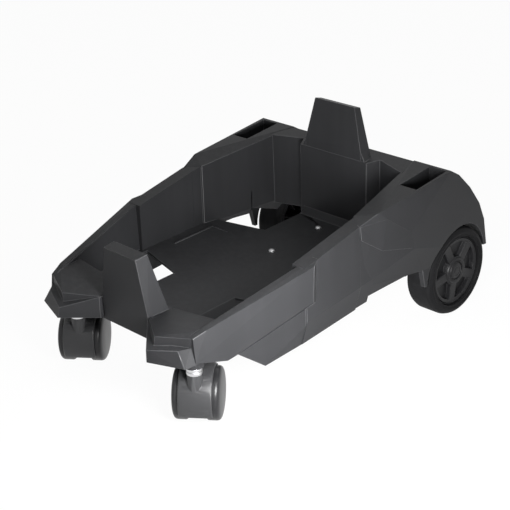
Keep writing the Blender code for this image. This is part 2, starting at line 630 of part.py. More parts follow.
def chassis_cutters() -> list[bpy.types.Object]:
    """Floor window, handle slot, wheel well, hollows under the arch and the rear wall, and the bores."""
    window_y = FLOOR_FRONT_Y - 0.001
    window = prism("floor_window", [
        (WINDOW_INNER_X, window_y), (WINDOW_INNER_X, window_y + WINDOW_LENGTH - 0.004),
        (RIM_INNER_X - 0.004, window_y + WINDOW_LENGTH + 0.016), (NOSE_OUTER_X - 0.014, window_y),
    ], FRONT_SKIRT_Z, DECK_Z)
    slot_y = LEDGE_REAR_Y - WALL - SLOT_LENGTH
    slot_x = SLOT_INNER_X + SLOT_WIDTH
    slot = prism("handle_slot", [
        (SLOT_INNER_X, slot_y), (slot_x, slot_y), (slot_x, slot_y + SLOT_LENGTH), (SLOT_INNER_X, slot_y + SLOT_LENGTH),
    ], LEDGE_REAR_Z - SLOT_DEPTH, LEDGE_REAR_Z + WALL)
    well = rod("wheel_well", WELL_RADIUS, LUG_FACE_X - BLEND, FLARE_X + WALL, WHEEL_SIDES)
    well.location = (0.0, AXLE_Y, WHEEL_RADIUS)
    skin_x = HALF_WIDTH - ARCH_SKIN
    hollow_low = WHEEL_RADIUS / 2
    hollow_y = PANEL_Y + 2 * WALL
    slot_wall_y = slot_y - WALL - STEP
    arch_hollow = hull("arch_hollow", [
        (x, y, z)
        for x, y, top in (
            (PANEL_FRONT_X + BLEND, hollow_y, WAIST_RIM_Z - WALL), (skin_x, hollow_y, WAIST_RIM_Z - WALL),
            (skin_x, slot_wall_y, ledge_z(slot_wall_y) - 2 * WALL),
            (PANEL_REAR_X + 2 * WALL + STEP, slot_wall_y, ledge_z(slot_wall_y) - 2 * WALL),
        )
        for z in (hollow_low, top)
    ])
    slot_hollow = prism("slot_hollow", [
        (x, y)
        for x in (PANEL_REAR_X + WALL + STEP, skin_x - BLEND)
        for y in (slot_wall_y - WALL, AXLE_Y - WELL_RADIUS / 2)
    ], hollow_low - WALL, LEDGE_REAR_Z - SLOT_DEPTH - WALL)
    bay_top = ledge_z(REAR_TONGUE_Y) - WALL
    hollow = hull("tongue_wall_hollow", mirrored_x([
        (x, y, z)
        for x, y in (
            (REAR_TONGUE_HALF_FOOT - WALL, REAR_TONGUE_Y + WALL), (REAR_BAY_X - WALL, REAR_CORNER_Y),
            (REAR_BAY_X - WALL, LEDGE_REAR_Y - WALL),
        )
        for z in (FRONT_SKIRT_Z - WALL, bay_top)
    ]))
    socket = rod(
        "socket_bore", SOCKET_RADIUS + CLEARANCE, SOCKET_FOOT_Z - WALL, SOCKET_TOP_Z + CLEARANCE, BORE_SIDES, "Z"
    )
    socket.location = (CASTER_X, CASTER_Y, 0.0)
    studs = []
    for name, y in stud_places():
        hole = rod(f"{name}_hole", STUD_RADIUS + CLEARANCE, floor_z(y) - 2 * WALL, floor_z(y) + WALL, SMALL_SIDES, "Z")
        hole.location = (0.0, y, 0.0)
        studs.append(hole)
    return [hollow, *studs, *with_twins([window, slot, arch_hollow, slot_hollow, well, socket])]


def stud_places() -> list[tuple[str, float]]:
    """Names and places of the two locating studs on the floor's centre line."""
    return [("floor_stud_front", NOTCH_Y - 0.042), ("floor_stud_rear", NOTCH_Y + 0.048)]


def build_chassis(material: bpy.types.Material) -> None:
    """The one-piece moulding, joined from blocks and then cut."""
    first, *others = floor_blocks() + front_blocks() + side_blocks() + rear_blocks()
    first.name = "chassis"
    combine(first, others, "UNION")
    combine(first, chassis_cutters(), "DIFFERENCE")
    combine(first, with_twins([axle_lug()]), "UNION")
    bore = rod("axle_bore", BORE_RADIUS, -WHEEL_FACE_X, WHEEL_FACE_X, BORE_SIDES)
    bore.location = (0.0, AXLE_Y, WHEEL_RADIUS)
    combine(first, [bore], "DIFFERENCE")
    finish(first, material)


def build_studs(material: bpy.types.Material) -> None:
    """Locating studs that stand through the floor, each with a rounded top."""
    for name, y in stud_places():
        top = floor_z(y) + STUD_HEIGHT
        stud = turned(name, [
            (0.0, top), (STUD_RADIUS * 0.6, top), (STUD_RADIUS, top - STUD_HEIGHT / 2),
            (STUD_RADIUS, floor_z(y) - WALL), (0.0, floor_z(y) - WALL),
        ], SMALL_SIDES, "Z")
        stud.location = (0.0, y, 0.0)
        finish(stud, material)


def tyre_profile() -> list[tuple[float, float]]:
    """Closed tyre section, as (radius, place along the axle) with the outer face at 0."""
    seat = WHEEL_RADIUS - TYRE_DEPTH
    edge = TYRE_SHOULDER
    bend = 0.3 * edge
    return [
        (seat, 0.0), (WHEEL_RADIUS - edge, 0.0), (WHEEL_RADIUS - bend, -bend), (WHEEL_RADIUS, -edge),
        (WHEEL_RADIUS, edge - TYRE_WIDTH), (WHEEL_RADIUS - bend, bend - TYRE_WIDTH),
        (WHEEL_RADIUS - edge, -TYRE_WIDTH), (seat, -TYRE_WIDTH),
    ]


def rim_profile() -> list[tuple[float, float]]:
    """Closed rim section: barrel, web behind the recessed face, and the bored hub."""
    barrel = WHEEL_RADIUS - TYRE_DEPTH - CLEARANCE
    inside = barrel - RIM_BARREL
    face = -RIM_RECESS
    web_back = face - RIM_WEB
    bore = AXLE_RADIUS + 2 * CLEARANCE + BUSH_WALL + CLEARANCE
    pocket = RETAINER_RADIUS + 0.001
    pocket_floor = CAP_POCKET_X - WHEEL_FACE_X
    hub_back = HUB_BACK_X - WHEEL_FACE_X
    return [
        (barrel, face), (barrel, WALL - TYRE_WIDTH), (inside, WALL - TYRE_WIDTH), (inside, web_back),
        (HUB_RADIUS, web_back), (HUB_RADIUS, hub_back), (bore, hub_back), (bore, pocket_floor),
        (pocket, pocket_floor), (pocket, face),
    ]


def rim_pockets(side: float) -> list[bpy.types.Object]:
    """Blind pockets between the spokes, cut into the rim's outer face."""
    outer = WHEEL_RADIUS - TYRE_DEPTH - RIM_BARREL - POCKET_MARGIN
    inner = HUB_RADIUS + POCKET_MARGIN / 2
    half = math.pi / POCKET_COUNT
    floor = WHEEL_FACE_X - RIM_RECESS - POCKET_DEPTH
    cutters = []
    for index in range(POCKET_COUNT):
        middle = POCKET_PHASE + 2 * half * index
        corners = []
        for radius in (inner, outer):
            reach = half - math.asin(SPOKE_WIDTH / 2 / radius)
            corners += [(radius, middle + share * reach) for share in (-1.0, -0.4, 0.4, 1.0)]
        points = [
            (side * x, radius * math.cos(turn), radius * math.sin(turn))
            for radius, turn in corners
            for x in (floor, WHEEL_FACE_X + WALL)
        ]
        cutter = hull(f"pocket_{'right' if side > 0 else 'left'}_{index}", points)
        cutter.location = (0.0, AXLE_Y, WHEEL_RADIUS)
        cutters.append(cutter)
    return cutters


def build_rear_wheels(
    rubber: bpy.types.Material, plastic: bpy.types.Material, nylon: bpy.types.Material, steel: bpy.types.Material
) -> None:
    """Axle, and for each side a tyre, rim, bush, cap, washer and push-on retainer."""
    axle_half = WHEEL_FACE_X - RIM_RECESS - CAP_THICKNESS - CLEARANCE
    axle = rod("rear_axle", AXLE_RADIUS, -axle_half, axle_half, BORE_SIDES)
    axle.location = (0.0, AXLE_Y, WHEEL_RADIUS)
    finish(axle, steel)
    retainer_x = axle_half - AXLE_END_STUB
    rim_face = WHEEL_FACE_X - RIM_RECESS
    bush_inner = AXLE_RADIUS + CLEARANCE
    for label, side in (("left", -1.0), ("right", 1.0)):
        def placed(name: str, profile: list[tuple[float, float]], sides: int, x: float) -> bpy.types.Object:
            shape = turned(f"{name}_{label}", [(r, side * (x + along)) for r, along in profile], sides)
            shape.location = (0.0, AXLE_Y, WHEEL_RADIUS)
            return shape

        def ring(name: str, inner: float, outer: float, low: float, high: float) -> bpy.types.Object:
            return placed(name, [(outer, high), (outer, low), (inner, low), (inner, high)], BORE_SIDES, 0.0)

        finish(placed("tyre", tyre_profile(), WHEEL_SIDES, WHEEL_FACE_X), rubber)
        rim = placed("rim", rim_profile(), WHEEL_SIDES, WHEEL_FACE_X)
        combine(rim, rim_pockets(side), "DIFFERENCE")
        finish(rim, plastic)
        finish(ring("hub_bush", bush_inner, bush_inner + BUSH_WALL, HUB_BACK_X, CAP_POCKET_X), nylon)
        finish(ring("axle_washer", bush_inner, WASHER_RADIUS, LUG_FACE_X + CLEARANCE, HUB_BACK_X - CLEARANCE), steel)
        retainer = ring(
            "axle_retainer", bush_inner, RETAINER_RADIUS, retainer_x - RETAINER_THICKNESS, retainer_x
        )
        finish(retainer, steel)
        cap_radius = RETAINER_RADIUS + 0.001 - CLEARANCE
        cap = placed("hub_cap", [
            (0.0, 0.001), (cap_radius * 0.8, 0.001), (cap_radius, 0.0), (cap_radius, 0.001 - CAP_THICKNESS),
            (0.0, 0.001 - CAP_THICKNESS),
        ], BORE_SIDES, rim_face)
        finish(cap, plastic)


def caster_frame(side: float, label: str) -> bpy.types.Object:
    """Empty on the swivel axis, turned as the caster stands."""
    frame = bpy.data.objects.new(f"caster_frame_{label}", None)
    bpy.context.scene.collection.objects.link(frame)
    frame.location = (side * CASTER_X, CASTER_Y, 0.0)
    frame.rotation_euler = (0.0, 0.0, CASTER_TURN)
    return frame


def hood_parts(label: str) -> tuple[list[bpy.types.Object], ...]:
    """Blocks of a caster hood about the wheel axis along X, the wheel rooms and the bores."""
    half = HOOD_WIDTH / 2
    web = CASTER_WEB / 2
    sweep = HOOD_FRONT_ANGLE + HOOD_BACK_ANGLE
    start = math.pi - HOOD_BACK_ANGLE
    shell = turned(f"hood_shell_{label}", [
        (HOOD_OUTER, -half + 0.0015), (HOOD_OUTER, half - 0.0015), (HOOD_OUTER - 0.001, half),
        (HOOD_INNER, half), (HOOD_INNER, -half), (HOOD_OUTER - 0.001, -half),
    ], CASTER_SIDES, "X", sweep, start)
    sector = turned(f"hood_web_{label}", [
        (HOOD_INNER + 0.3 * HOOD_WALL, -web), (HOOD_INNER + 0.3 * HOOD_WALL, web),
        (PIN_RADIUS / 2, web), (PIN_RADIUS / 2, -web),
    ], CASTER_SIDES, "X", sweep, start)
    hub = rod(f"hood_hub_{label}", 3 * PIN_RADIUS, CLEARANCE - web, web - CLEARANCE, BORE_SIDES)
    boss = rod(f"hood_boss_{label}", BOSS_RADIUS, 0.25 * HOOD_INNER, BOSS_TOP_Z - CASTER_WHEEL_RADIUS, BORE_SIDES, "Z")
    boss.location = (0.0, -CASTER_TRAIL, 0.0)
    room = [
        rod(f"wheel_room_{label}_{name}", HOOD_INNER + 0.7 * HOOD_WALL, *span, CASTER_SIDES)
        for name, span in (("near", (web - CLEARANCE, HOOD_WIDTH)), ("far", (-HOOD_WIDTH, CLEARANCE - web)))
    ]
    combine(boss, room, "DIFFERENCE")
    pin_hole = rod(f"pin_hole_{label}", PIN_RADIUS + CLEARANCE, -HOOD_WIDTH, HOOD_WIDTH, SMALL_SIDES)
    stem_hole = rod(
        f"stem_hole_{label}", STEM_RADIUS + CLEARANCE, BOSS_TOP_Z - CASTER_WHEEL_RADIUS - STEM_BITE - CLEARANCE,
        BOSS_TOP_Z, BORE_SIDES, "Z",
    )
    stem_hole.location = (0.0, -CASTER_TRAIL, 0.0)
    return [shell, sector, hub, boss], room, [pin_hole, stem_hole]


def caster_wheel_profile() -> list[tuple[float, float]]:
    """Wheel section from its inner face at 0 to its domed outer face."""
    width = CASTER_WHEEL_WIDTH
    radius = CASTER_WHEEL_RADIUS
    bore = PIN_RADIUS + CLEARANCE
    return [
        (bore, 0.0), (radius - 0.0015, 0.0), (radius, 0.0015), (radius, 0.7 * width), (0.95 * radius, 0.84 * width),
        (0.78 * radius, 0.94 * width), (0.45 * radius, 0.99 * width), (0.2 * radius, width),
        (0.2 * radius, 0.8 * width), (bore, 0.8 * width),
    ]


def build_casters(
    plastic: bpy.types.Material, tread: bpy.types.Material, nylon: bpy.types.Material, steel: bpy.types.Material
) -> None:
    """Two hooded twin-wheel casters, each on a stem in a sleeve under the nose."""
    for label, side in (("left", -1.0), ("right", 1.0)):
        frame = caster_frame(side, label)
        hub_place = Vector((0.0, CASTER_TRAIL, CASTER_WHEEL_RADIUS))

        def hang(obj: bpy.types.Object, place: Vector) -> bpy.types.Object:
            obj.parent = frame
            obj.location = Vector(obj.location) + place
            return obj

        blocks, rooms, bores = hood_parts(label)
        for piece in blocks + rooms + bores:
            hang(piece, hub_place)
        hood, *others = blocks
        hood.name = f"caster_hood_{label}"
        combine(hood, others, "UNION")
        combine(hood, bores, "DIFFERENCE")
        finish(hood, plastic)
        reach = CASTER_WEB / 2 + CLEARANCE + 0.8 * CASTER_WHEEL_WIDTH - 0.001
        pin = hang(rod(f"caster_pin_{label}", PIN_RADIUS, -reach, reach, SMALL_SIDES), hub_place)
        finish(pin, steel)
        inner = CASTER_WEB / 2 + CLEARANCE
        for name, turn in (("inner", -1.0), ("outer", 1.0)):
            profile = [(radius, turn * (inner + along)) for radius, along in caster_wheel_profile()]
            wheel = turned(f"caster_wheel_{name}_{label}", profile, CASTER_SIDES)
            finish(hang(wheel, hub_place), tread)
        on_axis = Vector((0.0, 0.0, 0.0))
        stem = rod(
            f"caster_stem_{label}", STEM_RADIUS, BOSS_TOP_Z - STEM_BITE, SOCKET_TOP_Z - CLEARANCE, BORE_SIDES, "Z"
        )
        finish(hang(stem, on_axis), steel)
        ring_inner = STEM_RADIUS + CLEARANCE
        low = BOSS_TOP_Z + CLEARANCE
        collar = turned(f"caster_collar_{label}", [
            (ring_inner, COLLAR_TOP_Z), (COLLAR_RADIUS - 0.001, COLLAR_TOP_Z), (COLLAR_RADIUS, COLLAR_TOP_Z - 0.001),
            (COLLAR_RADIUS, low), (ring_inner, low),
        ], BORE_SIDES, "Z")
        finish(hang(collar, on_axis), steel)
        sleeve = turned(f"caster_sleeve_{label}", [
            (ring_inner, SOCKET_TOP_Z), (SOCKET_RADIUS, SOCKET_TOP_Z), (SOCKET_RADIUS, SOCKET_FOOT_Z + CLEARANCE),
            (ring_inner, SOCKET_FOOT_Z + CLEARANCE),
        ], BORE_SIDES, "Z")
        sleeve.location = (side * CASTER_X, CASTER_Y, 0.0)
        finish(sleeve, nylon)


def main() -> None:
    """Build the whole cradle."""
    clear_scene()
    charcoal = make_material("charcoal_moulding", (0.045, 0.045, 0.048), 0.55, 0.0)
    rubber = make_material("black_tyre", (0.02, 0.02, 0.021), 0.7, 0.0)
    wheel_plastic = make_material("black_wheel_plastic", (0.03, 0.03, 0.032), 0.45, 0.0)
    tread = make_material("caster_nylon", (0.028, 0.028, 0.03), 0.35, 0.0)
    nylon = make_material("bearing_nylon", (0.55, 0.54, 0.5), 0.5, 0.0)
    steel = make_material("bright_steel", (0.75, 0.75, 0.76), 0.2, 1.0)
    build_chassis(charcoal)
    build_studs(steel)
    build_rear_wheels(rubber, wheel_plastic, nylon, steel)
    build_casters(wheel_plastic, tread, nylon, steel)


main()
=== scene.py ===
"""Looks of the wheeled cradle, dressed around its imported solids. Metres, +Z up, casters at -Y."""

import json
import logging
import math
from collections.abc import Sequence
from dataclasses import dataclass
from enum import Enum
from typing import Any

import bpy
from mathutils import Matrix, Vector
from mathutils.geometry import intersect_point_line


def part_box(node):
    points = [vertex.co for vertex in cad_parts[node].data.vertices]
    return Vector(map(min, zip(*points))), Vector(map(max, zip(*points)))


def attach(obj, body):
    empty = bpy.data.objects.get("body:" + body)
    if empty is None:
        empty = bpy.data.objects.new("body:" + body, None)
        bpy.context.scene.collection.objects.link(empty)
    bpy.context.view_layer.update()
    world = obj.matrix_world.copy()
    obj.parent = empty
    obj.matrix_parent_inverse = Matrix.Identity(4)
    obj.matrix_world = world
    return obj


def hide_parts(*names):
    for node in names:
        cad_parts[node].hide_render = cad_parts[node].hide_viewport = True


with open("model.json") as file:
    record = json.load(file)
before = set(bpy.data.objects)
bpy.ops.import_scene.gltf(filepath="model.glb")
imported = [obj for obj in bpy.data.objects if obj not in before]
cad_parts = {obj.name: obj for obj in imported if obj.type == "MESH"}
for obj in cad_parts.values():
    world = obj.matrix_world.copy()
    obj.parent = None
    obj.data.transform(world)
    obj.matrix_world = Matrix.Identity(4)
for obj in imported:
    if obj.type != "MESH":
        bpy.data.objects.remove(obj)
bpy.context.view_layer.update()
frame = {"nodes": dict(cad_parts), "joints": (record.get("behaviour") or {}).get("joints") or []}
LOG = logging.getLogger("cradle")

Colour = tuple[float, float, float]
Profile = list[tuple[float, float]]
Edge = tuple[int, int]
FULL_TURN = 2 * math.pi
CHASSIS = "chassis"
FIT_GAP = 0.0003
WHITE = (1.0, 1.0, 1.0, 1.0)


class Side(Enum):
    """The two sides of the cradle, with the sign of their x."""

    LEFT = -1.0
    RIGHT = 1.0

    @property
    def label(self) -> str:
        """The side's name as it stands in node and body names."""
        return self.name.lower()


class Slot(Enum):
    """Material slots of the record."""

    MOULDING = "moulding"
    TYRE = "tyre"
    WHEEL = "wheel_plastic"
    CASTER_WHEEL = "caster_wheel"
    STEEL = "steel"
    STUD = "stud"
    COLLAR = "collar"


class Wire:
    """A shader socket that takes part in plain arithmetic."""

    def __init__(self, graph: "Graph", socket: bpy.types.NodeSocket) -> None:
        """Hold the socket and the graph that new Math nodes go into."""
        self.graph = graph
        self.socket = socket

    def _math(self, operation: str, first: Any, second: Any) -> "Wire":
        """One Math node on two values."""
        return self.graph.node("ShaderNodeMath", {"operation": operation}, {0: first, 1: second})

    def __add__(self, other: Any) -> "Wire":
        """Sum with a value or a socket."""
        return self._math("ADD", self, other)

    __radd__ = __add__

    def __sub__(self, other: Any) -> "Wire":
        """Difference from a value or a socket."""
        return self._math("SUBTRACT", self, other)

    def __rsub__(self, other: Any) -> "Wire":
        """Difference of a plain value from this socket."""
        return self._math("SUBTRACT", other, self)

    def __mul__(self, other: Any) -> "Wire":
        """Product with a value or a socket."""
        return self._math("MULTIPLY", self, other)

    __rmul__ = __mul__

    def larger(self, other: Any) -> "Wire":
        """The larger of this socket and another."""
        return self._math("MAXIMUM", self, other)

    def wave(self) -> "Wire":
        """The sine of this socket."""
        return self.graph.node("ShaderNodeMath", {"operation": "SINE"}, {0: self})

    def ramp(self, low: float, high: float, start: float = 0.0, end: float = 1.0) -> "Wire":
        """Smooth step from start to end as this socket goes from low to high.

        Args:
            low: Value at which the step starts.
            high: Value at which it ends.
            start: Result at low.
            end: Result at high.

        Returns:
            The stepped value.
        """
        sockets = {"Value": self, "From Min": low, "From Max": high, "To Min": start, "To Max": end}
        return self.graph.node("ShaderNodeMapRange", {"interpolation_type": "SMOOTHSTEP"}, sockets)


class Graph:
    """A node tree that is written as expressions."""

    def __init__(self, tree: bpy.types.NodeTree) -> None:
        """Empty the tree."""
        self.tree = tree
        tree.nodes.clear()

    def node(
        self,
        kind: str,
        settings: dict[str, Any] | None = None,
        sockets: dict[Any, Any] | None = None,
        out: Any = 0,
    ) -> Wire:
        """Add one node.

        Args:
            kind: The node's type name.
            settings: Properties that are set before its sockets.
            sockets: Values or wires by socket name or number.
            out: Name or number of the output that is returned.

        Returns:
            The wire from that output, or the node's first input where it has no output.
        """
        made = self.tree.nodes.new(kind)
        for key, value in (settings or {}).items():
            setattr(made, key, value)
        for key, value in (sockets or {}).items():
            if isinstance(value, Wire):
                self.tree.links.new(value.socket, made.inputs[key])
            else:
                made.inputs[key].default_value = value
        return Wire(self, made.outputs[out] if made.outputs else made.inputs[0])

    def blend(self, share: Any, first: Any, second: Any) -> Wire:
        """Mix two colours by a share."""
        return self.node("ShaderNodeMix", {"data_type": "RGBA"}, {0: share, 6: first, 7: second}, 2)

    def noise(
        self, place: Wire, scale: float, detail: float, stretch: Colour = (1.0, 1.0, 1.0)
    ) -> Wire:
        """Noise in Object coordinates.

        Args:
            place: The coordinates.
            scale: Cells in a metre.
            detail: Octaves.
            stretch: Factor on each axis.

        Returns:
            A value about one half.
        """
        turned = self.node("ShaderNodeMapping", None, {"Vector": place, "Scale": stretch})
        return self.node("ShaderNodeTexNoise", None, {"Vector": turned, "Scale": scale, "Detail": detail})

    def bump(self, height: Wire, strength: float, depth: float) -> Wire:
        """A normal that is tilted by a height."""
        sockets = {"Strength": strength, "Distance": depth, "Height": height}
        return self.node("ShaderNodeBump", None, sockets, "Normal")


def opaque(colour: Colour, factor: float = 1.0) -> tuple[float, float, float, float]:
    """The colour times a factor, with full alpha."""
    return (colour[0] * factor, colour[1] * factor, colour[2] * factor, 1.0)


@dataclass(frozen=True)
class Finish:
    """What every finish has: its name, colour and roughness."""

    name: str
    colour: Colour
    roughness: float

    def material(self) -> bpy.types.Material:
        """The finished material."""
        made = bpy.data.materials.new(self.name)
        made.use_nodes = True
        graph = Graph(made.node_tree)
        place = graph.node("ShaderNodeTexCoord", out="Object")
        surface = graph.node("ShaderNodeBsdfPrincipled", None, self.sockets(graph, place))
        graph.node("ShaderNodeOutputMaterial", None, {"Surface": surface})
        return made

    def sockets(self, graph: Graph, place: Wire) -> dict[str, Any]:
        """The surface's socket values, which each finish gives in its own way."""
        raise NotImplementedError


@dataclass(frozen=True)
class Moulded(Finish):
    """Moulded plastic: fine spark grain, soft flow marks, faint streaks, and dust on its top faces."""

    specular: float
    grain_scale: float = 1300.0
    grain_depth: float = 0.00005
    flow_scale: float = 9.0
    flow: float = 0.16
    streak_scale: float = 70.0
    streak_stretch: Colour = (1.0, 1.0, 0.05)
    streak: float = 0.10
    rub_scale: float = 150.0
    dust: float = 0.05
    dust_colour: Colour = (0.30, 0.30, 0.31)

    def sockets(self, graph: Graph, place: Wire) -> dict[str, Any]:
        """Colour, roughness and grain."""
        grain = graph.noise(place, self.grain_scale, 3.0)
        flow = graph.noise(place, self.flow_scale, 4.0)
        streak = graph.noise(place, self.streak_scale, 3.0, self.streak_stretch)
        rub = graph.noise(place, self.rub_scale, 5.0)
        facing = graph.node("ShaderNodeTexCoord", out="Normal")
        up = graph.node("ShaderNodeSeparateXYZ", None, {0: facing}, "Z")
        settled = up.ramp(0.55, 0.98) * rub.ramp(0.35, 0.75) * self.dust
        shade = flow.ramp(0.25, 0.75) * 0.5 + streak.ramp(0.3, 0.7) * 0.25 + grain * 0.25
        dark = opaque(self.colour, 1.0 - self.flow)
        light = opaque(self.colour, 1.0 + self.flow)
        plain = graph.blend(shade, dark, light)
        dusty = graph.blend(settled, plain, opaque(self.dust_colour))
        rough = (streak - 0.5) * self.streak + (flow - 0.5) * 0.12 + settled + self.roughness
        return {
            "Base Color": dusty, "Roughness": rough, "Specular IOR Level": self.specular,
            "Normal": graph.bump(grain, 0.5, self.grain_depth),
        }


@dataclass(frozen=True)
class Rubber(Finish):
    """Tyre rubber: matt, with fine turned rings on its sides and a scuffed running face."""

    specular: float
    hub: Colour
    radius: float = 0.061
    worn_start: float = 0.003
    worn_end: float = 0.0003
    ring_pitch: float = 0.0011
    grain_scale: float = 900.0
    scuff_scale: float = 120.0
    relief: float = 0.00008

    def sockets(self, graph: Graph, place: Wire) -> dict[str, Any]:
        """Colour, roughness and rings about the hub."""
        offset = graph.node("ShaderNodeVectorMath", {"operation": "SUBTRACT"}, {0: place, 1: self.hub})
        across = (0.0, 1.0, 1.0)
        flat = graph.node("ShaderNodeVectorMath", {"operation": "MULTIPLY"}, {0: offset, 1: across})
        reach = graph.node("ShaderNodeVectorMath", {"operation": "LENGTH"}, {0: flat}, "Value")
        grain = graph.noise(place, self.grain_scale, 4.0)
        scuff = graph.noise(place, self.scuff_scale, 5.0)
        tread = reach.ramp(self.radius - self.worn_start, self.radius - self.worn_end)
        worn = tread * scuff.ramp(0.35, 0.7)
        rings = (reach * (FULL_TURN / self.ring_pitch)).wave() * 0.2
        pale = graph.blend(worn * 0.5, opaque(self.colour, 0.9), opaque(self.colour, 2.2))
        return {
            "Base Color": graph.blend(grain.ramp(0.3, 0.7) * 0.3, pale, opaque(self.colour, 1.4)),
            "Roughness": worn * 0.12 + (grain - 0.5) * 0.15 + self.roughness,
            "Specular IOR Level": self.specular,
            "Normal": graph.bump(grain * 0.6 + rings, 0.5, self.relief),
        }


@dataclass(frozen=True)
class Plated(Finish):
    """Bright metal with fine turned lines and small dull spots."""

    wear: float
    stretch: Colour = (1.0, 1.0, 1.0)
    line_scale: float = 2200.0
    line_depth: float = 0.00003
    spot_scale: float = 380.0

    def sockets(self, graph: Graph, place: Wire) -> dict[str, Any]:
        """Colour, roughness and lines."""
        lines = graph.noise(place, self.line_scale, 2.0, self.stretch)
        spots = graph.noise(place, self.spot_scale, 4.0)
        dull = spots.ramp(0.5, 0.8)
        return {
            "Base Color": graph.blend(dull * self.wear, opaque(self.colour), opaque(self.colour, 0.7)),
            "Metallic": 1.0,
            "Roughness": (lines - 0.5) * 0.2 + dull * (self.wear * 0.4) + self.roughness,
            "Normal": graph.bump(lines, 0.25, self.line_depth),
        }


class Bench:
    """Hand operations on the one mesh that is being shaped."""

    @staticmethod
    def clear() -> None:
        """Leave nothing selected, in object mode."""
        if bpy.context.mode != "OBJECT":
            bpy.ops.object.mode_set(mode="OBJECT")
        bpy.ops.object.select_all(action="DESELECT")

    @staticmethod
    def take(obj: bpy.types.Object) -> None:
        """Make one object the only one selected."""
        Bench.clear()
        obj.select_set(True)
        bpy.context.view_layer.objects.active = obj

    @staticmethod
    def edit(obj: bpy.types.Object) -> None:
        """Open one object with all of its mesh selected."""
        Bench.take(obj)
        bpy.ops.object.mode_set(mode="EDIT")
        bpy.ops.mesh.select_all(action="SELECT")

    @staticmethod
    def leave() -> None:
        """Close the open mesh."""
        bpy.ops.object.mode_set(mode="OBJECT")

    @staticmethod
    def outline(name: str, corners: Sequence[Sequence[float]]) -> bpy.types.Object:
        """A ring of edges: a circle primitive with its points drawn out to the given corners."""
        Bench.clear()
        bpy.ops.mesh.primitive_circle_add(vertices=len(corners), radius=0.01, fill_type="NOTHING")
        obj = bpy.context.object
        obj.name = name
        obj.data.name = name
        for vertex, corner in zip(obj.data.vertices, corners):
            vertex.co = corner
        return obj

    @staticmethod
    def turned(name: str, profile: Profile, steps: int) -> bpy.types.Object:
        """A solid spun about Z.

        Args:
            name: The object's name.
            profile: Closed section as (radius, height).
            steps: Sides of the round.

        Returns:
            The closed solid.
        """
        obj = Bench.outline(name, [(radius, 0.0, height) for radius, height in profile])
        Bench.edit(obj)
        bpy.ops.mesh.spin(steps=steps, angle=FULL_TURN, center=(0.0, 0.0, 0.0), axis=(0.0, 0.0, 1.0))
        bpy.ops.mesh.select_all(action="SELECT")
        bpy.ops.mesh.remove_doubles(threshold=1e-6)
        bpy.ops.mesh.delete_loose(use_verts=True, use_edges=True, use_faces=False)
        bpy.ops.mesh.select_all(action="SELECT")
        bpy.ops.mesh.normals_make_consistent(inside=False)
        Bench.leave()
        return obj

    @staticmethod
    def extruded(name: str, plan: Profile, low: float, high: float) -> bpy.types.Object:
        """A plan of (x, y) corners filled and drawn up from one height to another."""
        obj = Bench.outline(name, [(x, y, low) for x, y in plan])
        Bench.edit(obj)
        bpy.ops.mesh.edge_face_add()
        bpy.ops.mesh.extrude_region_move(TRANSFORM_OT_translate={"value": (0.0, 0.0, high - low)})
        bpy.ops.mesh.select_all(action="SELECT")
        bpy.ops.mesh.normals_make_consistent(inside=False)
        Bench.leave()
        return obj

    @staticmethod
    def apply(obj: bpy.types.Object, kind: str, **settings: Any) -> None:
        """Add one modifier with its settings and apply it."""
        Bench.take(obj)
        step = obj.modifiers.new(kind.lower(), kind)
        for key, value in settings.items():
            setattr(step, key, value)
        bpy.ops.object.modifier_apply(modifier=step.name)

    @staticmethod
    def cut(obj: bpy.types.Object, cutters: Sequence[bpy.types.Object]) -> None:
        """Cut the other objects out of one, and drop them."""
        for cutter in cutters:
            Bench.apply(obj, "BOOLEAN", operation="DIFFERENCE", solver="EXACT", object=cutter)
            bpy.data.objects.remove(cutter, do_unlink=True)

    @staticmethod
    def soften(
        obj: bpy.types.Object, width: float, segments: int, angle: float, edge_slot: int = -1
    ) -> None:
        """Round the edges that are sharper than an angle.

        Args:
            obj: The piece.
            width: Width of the rounding.
            segments: Faces across it.
            angle: Least angle of an edge that is rounded, in degrees.
            edge_slot: Material slot of the rounded faces, or -1 for that of their neighbours.
        """
        Bench.apply(
            obj, "BEVEL", width=width, segments=segments, limit_method="ANGLE",
            angle_limit=math.radians(angle), material=edge_slot, miter_outer="MITER_ARC",
            use_clamp_overlap=False, harden_normals=True,
        )

    @staticmethod
    def sharp_edges(mesh: bpy.types.Mesh, angle: float, corner: float, shortest: float) -> set[Edge]:
        """Edges that can be rounded.

        Args:
            mesh: The mesh.
            angle: Least angle between an edge's two faces, in degrees.
            corner: Least angle of the face corners at its ends, in degrees.
            shortest: Least length.

        Returns:
            The edges as pairs of point numbers.
        """
        normals: dict[Edge, list[Vector]] = {}
        needles: set[Edge] = set()
        for face in mesh.polygons:
            ring = list(face.vertices)
            for key in face.edge_keys:
                normals.setdefault(key, []).append(face.normal.copy())
            for index, here in enumerate(ring):
                ends = (ring[index - 1], ring[(index + 1) % len(ring)])
                back, ahead = (mesh.vertices[end].co - mesh.vertices[here].co for end in ends)
                if back.angle(ahead, 0.0) < math.radians(corner):
                    needles.update((min(here, end), max(here, end)) for end in ends)
        found: set[Edge] = set()
        for key, faces in normals.items():
            first, last = (mesh.vertices[point].co for point in key)
            sharp = len(faces) == 2 and faces[0].angle(faces[1], 0.0) > math.radians(angle)
            if sharp and key not in needles and (last - first).length > shortest:
                found.add(key)
        return found

